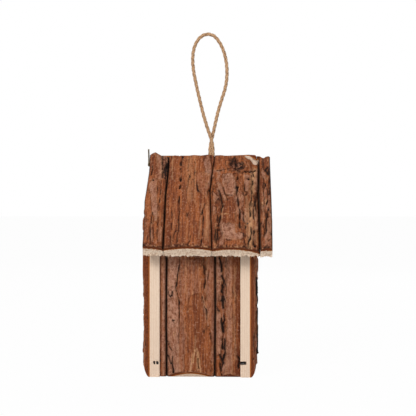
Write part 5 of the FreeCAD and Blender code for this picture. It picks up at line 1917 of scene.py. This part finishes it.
@dataclass(frozen=True)
class TwistedCord:
    """A jute cord of three plies, in millimetres."""

    pitch: float = 18.6
    ply_radius: float = 1.14
    helix_radius: float = 0.98
    plies: int = 3
    around: int = 12
    hairs_per_length: float = 1.3
    hair_length: float = 1.7
    hair_width: float = 0.09
    hair_root: float = 1.3
    hair_lean: float = 0.9
    hair_sway: float = 0.5
    strand_twist: float = 1.1
    strand_lift: float = 0.05
    swell_lift: float = 0.07
    ply_shade_span: Point = (0.9, 1.45)
    seed: int = 71
    sharp_deg: float = 70.0

    LAY_SHIFT: ClassVar[float] = 37.0
    HAIR_LAY: ClassVar[float] = 0.2

    def mesh(self, name: str, paths: Sequence[Array], finish: Material) -> Object:
        """Winds the plies along one or more paths and adds their loose hairs.

        Args:
            name: The piece's name.
            paths: The paths' points.
            finish: The jute's material.

        Returns:
            The mesh object.
        """
        draw = np.random.default_rng(self.seed)
        strands = []
        for path in paths:
            length = np.concatenate([[0.0], np.cumsum(np.linalg.norm(np.diff(path, axis=0), axis=1))])
            first, second = carried_frames(path)
            for ply in range(self.plies):
                turn = 2.0 * math.pi * (length / self.pitch + ply / self.plies)
                offset = self.helix_radius * (np.cos(turn)[:, None] * first + np.sin(turn)[:, None] * second)
                points, faces, lay, painted_ply_shade = self._ply(path, path + offset, length, draw)
                strands.append((points, faces, lay + self.LAY_SHIFT * len(strands), painted_ply_shade))
            points, faces = self._hairs(path, first, second, draw)
            strands.append((points, faces, points * self.HAIR_LAY, np.zeros(len(points))))
        points, faces, lay, painted_ply_shade = zip(*strands)
        shifts = np.cumsum([0, *map(len, points)]).tolist()
        joined = [tuple(n + shift for n in face) for shift, own in zip(shifts, faces) for face in own]
        made = new_piece(name, np.concatenate(points), joined, finish)
        set_attribute(made, "lay", np.concatenate(lay))
        set_attribute(made, "painted_ply_shade", np.concatenate(painted_ply_shade))
        turn_outward(made, self.sharp_deg)
        return made

    def _ply(
        self, axis: Array, line: Array, length: Array, draw: np.random.Generator
    ) -> tuple[Array, Faces, Array, Array]:
        """One ply's tube.

        Args:
            axis: The cord's own path.
            line: The ply's path.
            length: The distance along the cord at each point.
            draw: Where the ply's unevenness is drawn from.

        Returns:
            The points, the faces, each point's place in the ply's lay and how much painted shade it takes
            between the plies.
        """
        noise = Noise(int(draw.integers(1 << 30)))
        first, second = carried_frames(line)
        angle = np.linspace(0.0, 2.0 * math.pi, self.around, endpoint=False)[None]
        run = length[:, None]
        wound = angle + self.strand_twist * run
        uneven = noise.layered(2.0 * np.cos(wound) + 9.0, run / 1.6 + 2.0 * np.sin(wound), 3)
        strand = self.strand_lift * np.cos(3.0 * wound) + self.strand_lift * uneven
        swell = self.swell_lift * noise.layered(run / 7.0, 0.0 * angle + 3.0, 2)
        radius = self.ply_radius * (1.0 + strand + swell)
        outward = np.cos(angle)[..., None] * first[:, None] + np.sin(angle)[..., None] * second[:, None]
        points = line[:, None] + radius[..., None] * outward
        lay = np.stack([5.0 * np.cos(wound), 5.0 * np.sin(wound), np.broadcast_to(run, wound.shape)], -1)
        depth = 1.0 - smooth(*self.ply_shade_span, np.linalg.norm(points - axis[:, None], axis=-1))
        return points.reshape(-1, 3), tube_faces(len(points), self.around), lay.reshape(-1, 3), depth.ravel()

    def _hairs(
        self, path: Array, first: Array, second: Array, draw: np.random.Generator
    ) -> tuple[Array, Faces]:
        """The loose hairs along a path.

        Args:
            path: The cord's own path.
            first: One direction across it at each point.
            second: The other direction.
            draw: Where the hairs' places are drawn from.

        Returns:
            The points and the faces.
        """
        total = np.linalg.norm(np.diff(path, axis=0), axis=1).sum()
        count = max(4, round(total * self.hairs_per_length))
        at = draw.integers(2, len(path) - 2, count)
        tangent = unit(np.gradient(path, axis=0))[at]
        angle = draw.uniform(0.0, 2.0 * math.pi, count)[:, None]
        outward = np.cos(angle) * first[at] + np.sin(angle) * second[at]
        sideways = np.cross(tangent, outward)
        length = self.hair_length * draw.uniform(0.3, 1.0, count)[:, None]
        lean = draw.normal(0.0, self.hair_lean, count)[:, None]
        root = path[at] + self.hair_root * outward
        sway = draw.normal(0.0, self.hair_sway, count)[:, None]
        tip = root + length * unit(outward + lean * tangent + sway * sideways)
        width = self.hair_width
        corners = [root + width * sideways, root - width * sideways, root + width * tangent]
        points = np.stack([*corners, tip], 1).reshape(-1, 3)
        sides = ((0, 1), (1, 2), (2, 0))
        faces = [(k + a, k + b, k + 3) for k in range(0, len(points), 4) for a, b in sides]
        return points, faces


@dataclass(frozen=True)
class HangingCord:
    """The cord's loop over the ridge, and its legs, knot and ends inside the house."""

    house: House
    cord: TwistedCord = field(default_factory=TwistedCord)
    wrap_radius: float = 3.9
    wrap_rise: float = 3.9
    wrap_turns: int = 3
    wrap_steps: int = 12
    wrap_top: float = 204.0
    leg_top: float = 240.0
    tail_end: float = 180.5

    LOOP: ClassVar[Route] = (
        (1.8, 0.0, -11.0), (1.8, 0.0, -5.0), (1.7, 0.0, 0.0), (1.7, -0.4, 5.5), (1.0, -1.7, 11.5),
        (-0.8, -2.0, 18.5), (-3.9, -1.4, 27.2), (-7.5, -0.4, 38.5), (-11.2, 0.2, 52.0), (-14.8, 0.5, 67.0),
        (-18.4, 0.6, 83.0), (-21.3, 0.5, 98.0), (-22.2, 0.3, 111.5), (-20.8, 0.1, 122.6),
        (-17.2, -0.1, 131.0), (-12.2, -0.2, 137.0), (-4.8, -0.2, 139.9), (2.9, 0.0, 137.9),
        (8.4, 0.2, 131.5), (12.9, 0.3, 123.4), (16.4, 0.4, 112.6), (18.2, 0.4, 100.0), (18.0, 0.3, 87.0),
        (15.8, 0.2, 74.5), (11.5, 0.1, 62.0), (7.8, 0.2, 49.5), (5.0, 0.5, 38.0), (2.7, 1.4, 27.2),
        (0.6, 2.0, 18.5), (-1.0, 1.7, 11.5), (-1.7, 0.4, 5.5), (-1.7, 0.0, 0.0), (-1.8, 0.0, -5.0),
        (-1.8, 0.0, -11.0),
    )

    def build_loop(self, finishes: Finishes) -> Object:
        """Winds the loop along its route over the ridge.

        Args:
            finishes: The finishes of the house.

        Returns:
            The mesh object.
        """
        pivot = self.house.pivot
        path = spline_points("loop_route", [[p + q for p, q in zip(pivot, place)] for place in self.LOOP])
        made = self.cord.mesh("hanging_loop_jute", [path], finishes.jute)
        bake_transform(made)
        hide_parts("hanging_loop")
        return made

    def build_knot(self, finishes: Finishes) -> Object:
        """Winds the legs through the beam, the knot that stops them under it and the two ends.

        Args:
            finishes: The finishes of the house.

        Returns:
            The mesh object.
        """
        x, y, _ = self.house.pivot
        apart = self.house.cord_spacing / 2.0
        top, tail = self.leg_top, self.tail_end
        core = [(x + apart, y, top), (x + apart, y, 226.0), (x + apart, y, 212.0), (x + 0.5, y, 204.0)]
        core += [(x, y, 198.0), (x, y, 191.0), (x + 1.4, y + 0.4, 186.0), (x + 2.4, y + 0.6, tail)]
        wrap = [(x - apart, y, top), (x - apart, y, 226.0), (x - apart - 0.6, y, 211.0)]
        for k in range(self.wrap_steps * self.wrap_turns + 1):
            turn = math.pi + 2.0 * math.pi * k / self.wrap_steps
            right, back = self.wrap_radius * math.cos(turn), self.wrap_radius * math.sin(turn)
            wrap.append((x + right, y + back, self.wrap_top - self.wrap_rise * k / self.wrap_steps))
        wrap += [(x - 3.6, y - 1.2, 189.5), (x - 3.0, y - 0.8, 185.5), (x - 2.6, y - 0.4, tail + 0.8)]
        paths = [spline_points("core_route", core), spline_points("wrap_route", wrap)]
        made = self.cord.mesh("cord_knot_jute", paths, finishes.jute)
        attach(made, "house")
        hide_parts("cord_knot")
        LOG.info("%s: %d points", made.name, len(made.data.vertices))
        return made


@dataclass(frozen=True)
class BentBrad:
    """The brad that stands bent at the back end of the ridge, hammered flat, in millimetres."""

    half_width: float = 0.86
    half_thickness: float = 0.6
    knuckle: float = 0.45
    knuckle_reach: float = 1.8
    around: int = 14
    sharp_deg: float = 50.0

    ROUTE: ClassVar[Route] = (
        (-61.2, -3.0, 235.5), (-64.6, -3.0, 235.5), (-68.0, -3.0, 235.5), (-69.7, -3.0, 235.8),
        (-69.6, -3.0, 238.2), (-69.5, -3.0, 242.0), (-69.6, -3.0, 248.0), (-69.8, -3.0, 254.8),
    )

    def build(self, finishes: Finishes) -> Object:
        """Sweeps the wire along its bend and fixes it to the house.

        Args:
            finishes: The finishes of the house.

        Returns:
            The mesh object.
        """
        path = spline_points("brad_route", self.ROUTE)
        first, second = (direction[:, None] for direction in carried_frames(path))
        angle = np.linspace(0.0, 2.0 * math.pi, self.around, endpoint=False)[None, :, None]
        bend = np.linalg.norm(path - np.array(self.ROUTE[3]), axis=1)
        wide = (self.half_width + self.knuckle * bell(bend, self.knuckle_reach))[:, None, None]
        points = path[:, None] + wide * np.cos(angle) * first + self.half_thickness * np.sin(angle) * second
        faces = tube_faces(len(path), self.around)
        made = new_piece("bent_brad_wire", points.reshape(-1, 3), faces, finishes.brass)
        turn_outward(made, self.sharp_deg)
        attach(made, "house")
        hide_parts("bent_brad")
        LOG.info("%s: %d points", made.name, len(made.data.vertices))
        return made


@dataclass(frozen=True)
class Hardware:
    """The boards inside the house and the staples that hold it together, which keep their solids."""

    boards: tuple[str, ...] = ("floor_board", "eave_rail_a", "eave_rail_b", "ridge_beam")
    staples: tuple[str, ...] = (
        "floor_staples", "side_a_staples", "side_b_staples", "front_staples", "back_staples",
        "roof_a_staples", "roof_b_staples",
    )

    def dress(self, finishes: Finishes) -> None:
        """Gives the solids their finishes.

        Args:
            finishes: The finishes of the house.
        """
        for names, finish in ((self.boards, finishes.pine), (self.staples, finishes.steel)):
            for name in names:
                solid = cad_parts[name]
                if not solid.material_slots:
                    solid.data.materials.append(finish)
                for slot in solid.material_slots:
                    slot.material = finish
                LOG.info("%s: %s", name, finish.name)


@dataclass(frozen=True)
class Studio:
    """The camera, the lights, the white surround and the floor, in metres."""

    camera_place: Spot = (0.03775, -1.0993, 0.1862)
    camera_turn_deg: float = 2.0
    lens: float = 81.52
    sensor: float = 36.0
    far: float = 100.0
    lit_place: Spot = (0.0, 0.0, 0.15)
    surround: float = 0.3
    floor_size: float = 40.0
    floor_level: float = -0.0005
    floor_glow: float = 0.975
    lamps: tuple[tuple[str, Spot, float, float], ...] = (
        ("key_lamp", (-0.65, -1.35, 1.25), 0.7, 20.0),
        ("fill_lamp", (0.9, -1.4, 0.7), 1.0, 5.0),
        ("back_lamp", (0.3, 1.4, 1.0), 1.2, 9.0),
    )

    WHITE: ClassVar[Colour] = (1.0, 1.0, 1.0, 1.0)
    FLOOR: ClassVar[Colour] = (0.8, 0.8, 0.8, 1.0)

    def set_camera(self) -> None:
        """Puts the camera where the photograph was taken from."""
        data = bpy.data.cameras.new("camera")
        data.lens, data.sensor_width = self.lens, self.sensor
        data.clip_end = self.far
        camera = bpy.data.objects.new("camera", data)
        camera.location = self.camera_place
        camera.rotation_euler = (math.radians(90.0), 0.0, math.radians(self.camera_turn_deg))
        bpy.context.scene.collection.objects.link(camera)
        bpy.context.scene.camera = camera

    def set_light(self, name: str, place: Sequence[float], size: float, power: float) -> None:
        """Hangs one soft lamp that faces the house.

        Args:
            name: Its name.
            place: Where it hangs.
            size: The side of its square.
            power: Its power in watts.
        """
        data = bpy.data.lights.new(name, "AREA")
        data.size, data.energy = size, power
        lamp = bpy.data.objects.new(name, data)
        lamp.location = place
        aim = Vector(self.lit_place) - Vector(place)
        lamp.rotation_euler = aim.to_track_quat("-Z", "Y").to_euler()
        bpy.context.scene.collection.objects.link(lamp)

    def set_surround(self) -> None:
        """Makes a world that looks white and lights the house softly."""
        world = bpy.data.worlds.new("surround")
        world.use_nodes = True
        bpy.context.scene.world = world
        made = Nodes(world.node_tree)
        lit = self.surround + (1.0 - self.surround) * made.seen()
        shade = made.node("ShaderNodeBackground", {}, {"Color": self.WHITE, "Strength": lit})
        made.node_output("ShaderNodeOutputWorld", shade)

    def set_floor(self) -> None:
        """Lays a pale floor that keeps the house's shadow."""
        half = self.floor_size / 2.0 / MM
        corners = np.array([[-half, -half, 0.0], [half, -half, 0.0], [half, half, 0.0], [-half, half, 0.0]])
        corners[:, 2] = self.floor_level / MM
        material = bpy.data.materials.new("studio_floor")
        material.use_nodes = True
        made = Nodes(material.node_tree)
        seen = made.seen()
        matt = made.node("ShaderNodeBsdfDiffuse", {}, {"Color": self.FLOOR})
        white = made.node("ShaderNodeEmission", {}, {"Color": self.WHITE, "Strength": 1.0})
        mixed = made.node("ShaderNodeMixShader", {}, {0: seen * self.floor_glow, 1: matt, 2: white})
        made.node_output("ShaderNodeOutputMaterial", mixed)
        new_piece("studio_floor", corners, [(0, 1, 2, 3)], material)

    def build(self) -> None:
        """Sets up everything round the house."""
        bpy.context.scene.view_settings.view_transform = "Standard"
        self.set_camera()
        self.set_surround()
        self.set_floor()
        for name, place, size, power in self.lamps:
            self.set_light(name, place, size, power)


def main() -> None:
    """Builds the house piece by piece."""
    logging.basicConfig(level=logging.INFO, format="%(name)s: %(message)s")
    house = House()
    Studio().build()
    finishes = Finishes.make()
    cord = HangingCord(house)
    cord.build_loop(finishes)
    cord.build_knot(finishes)
    roofs = (near_roof(house), far_roof(house))
    for face in (*roofs, near_side(house), far_side(house), front_gable(house), back_gable(house)):
        face.build(finishes)
    for seed, face in enumerate(roofs, EaveFibres.FIRST_SEED):
        EaveFibres(face, seed).build(finishes)
    BentBrad().build(finishes)
    Hardware().dress(finishes)


if __name__ == "__main__":
    main()
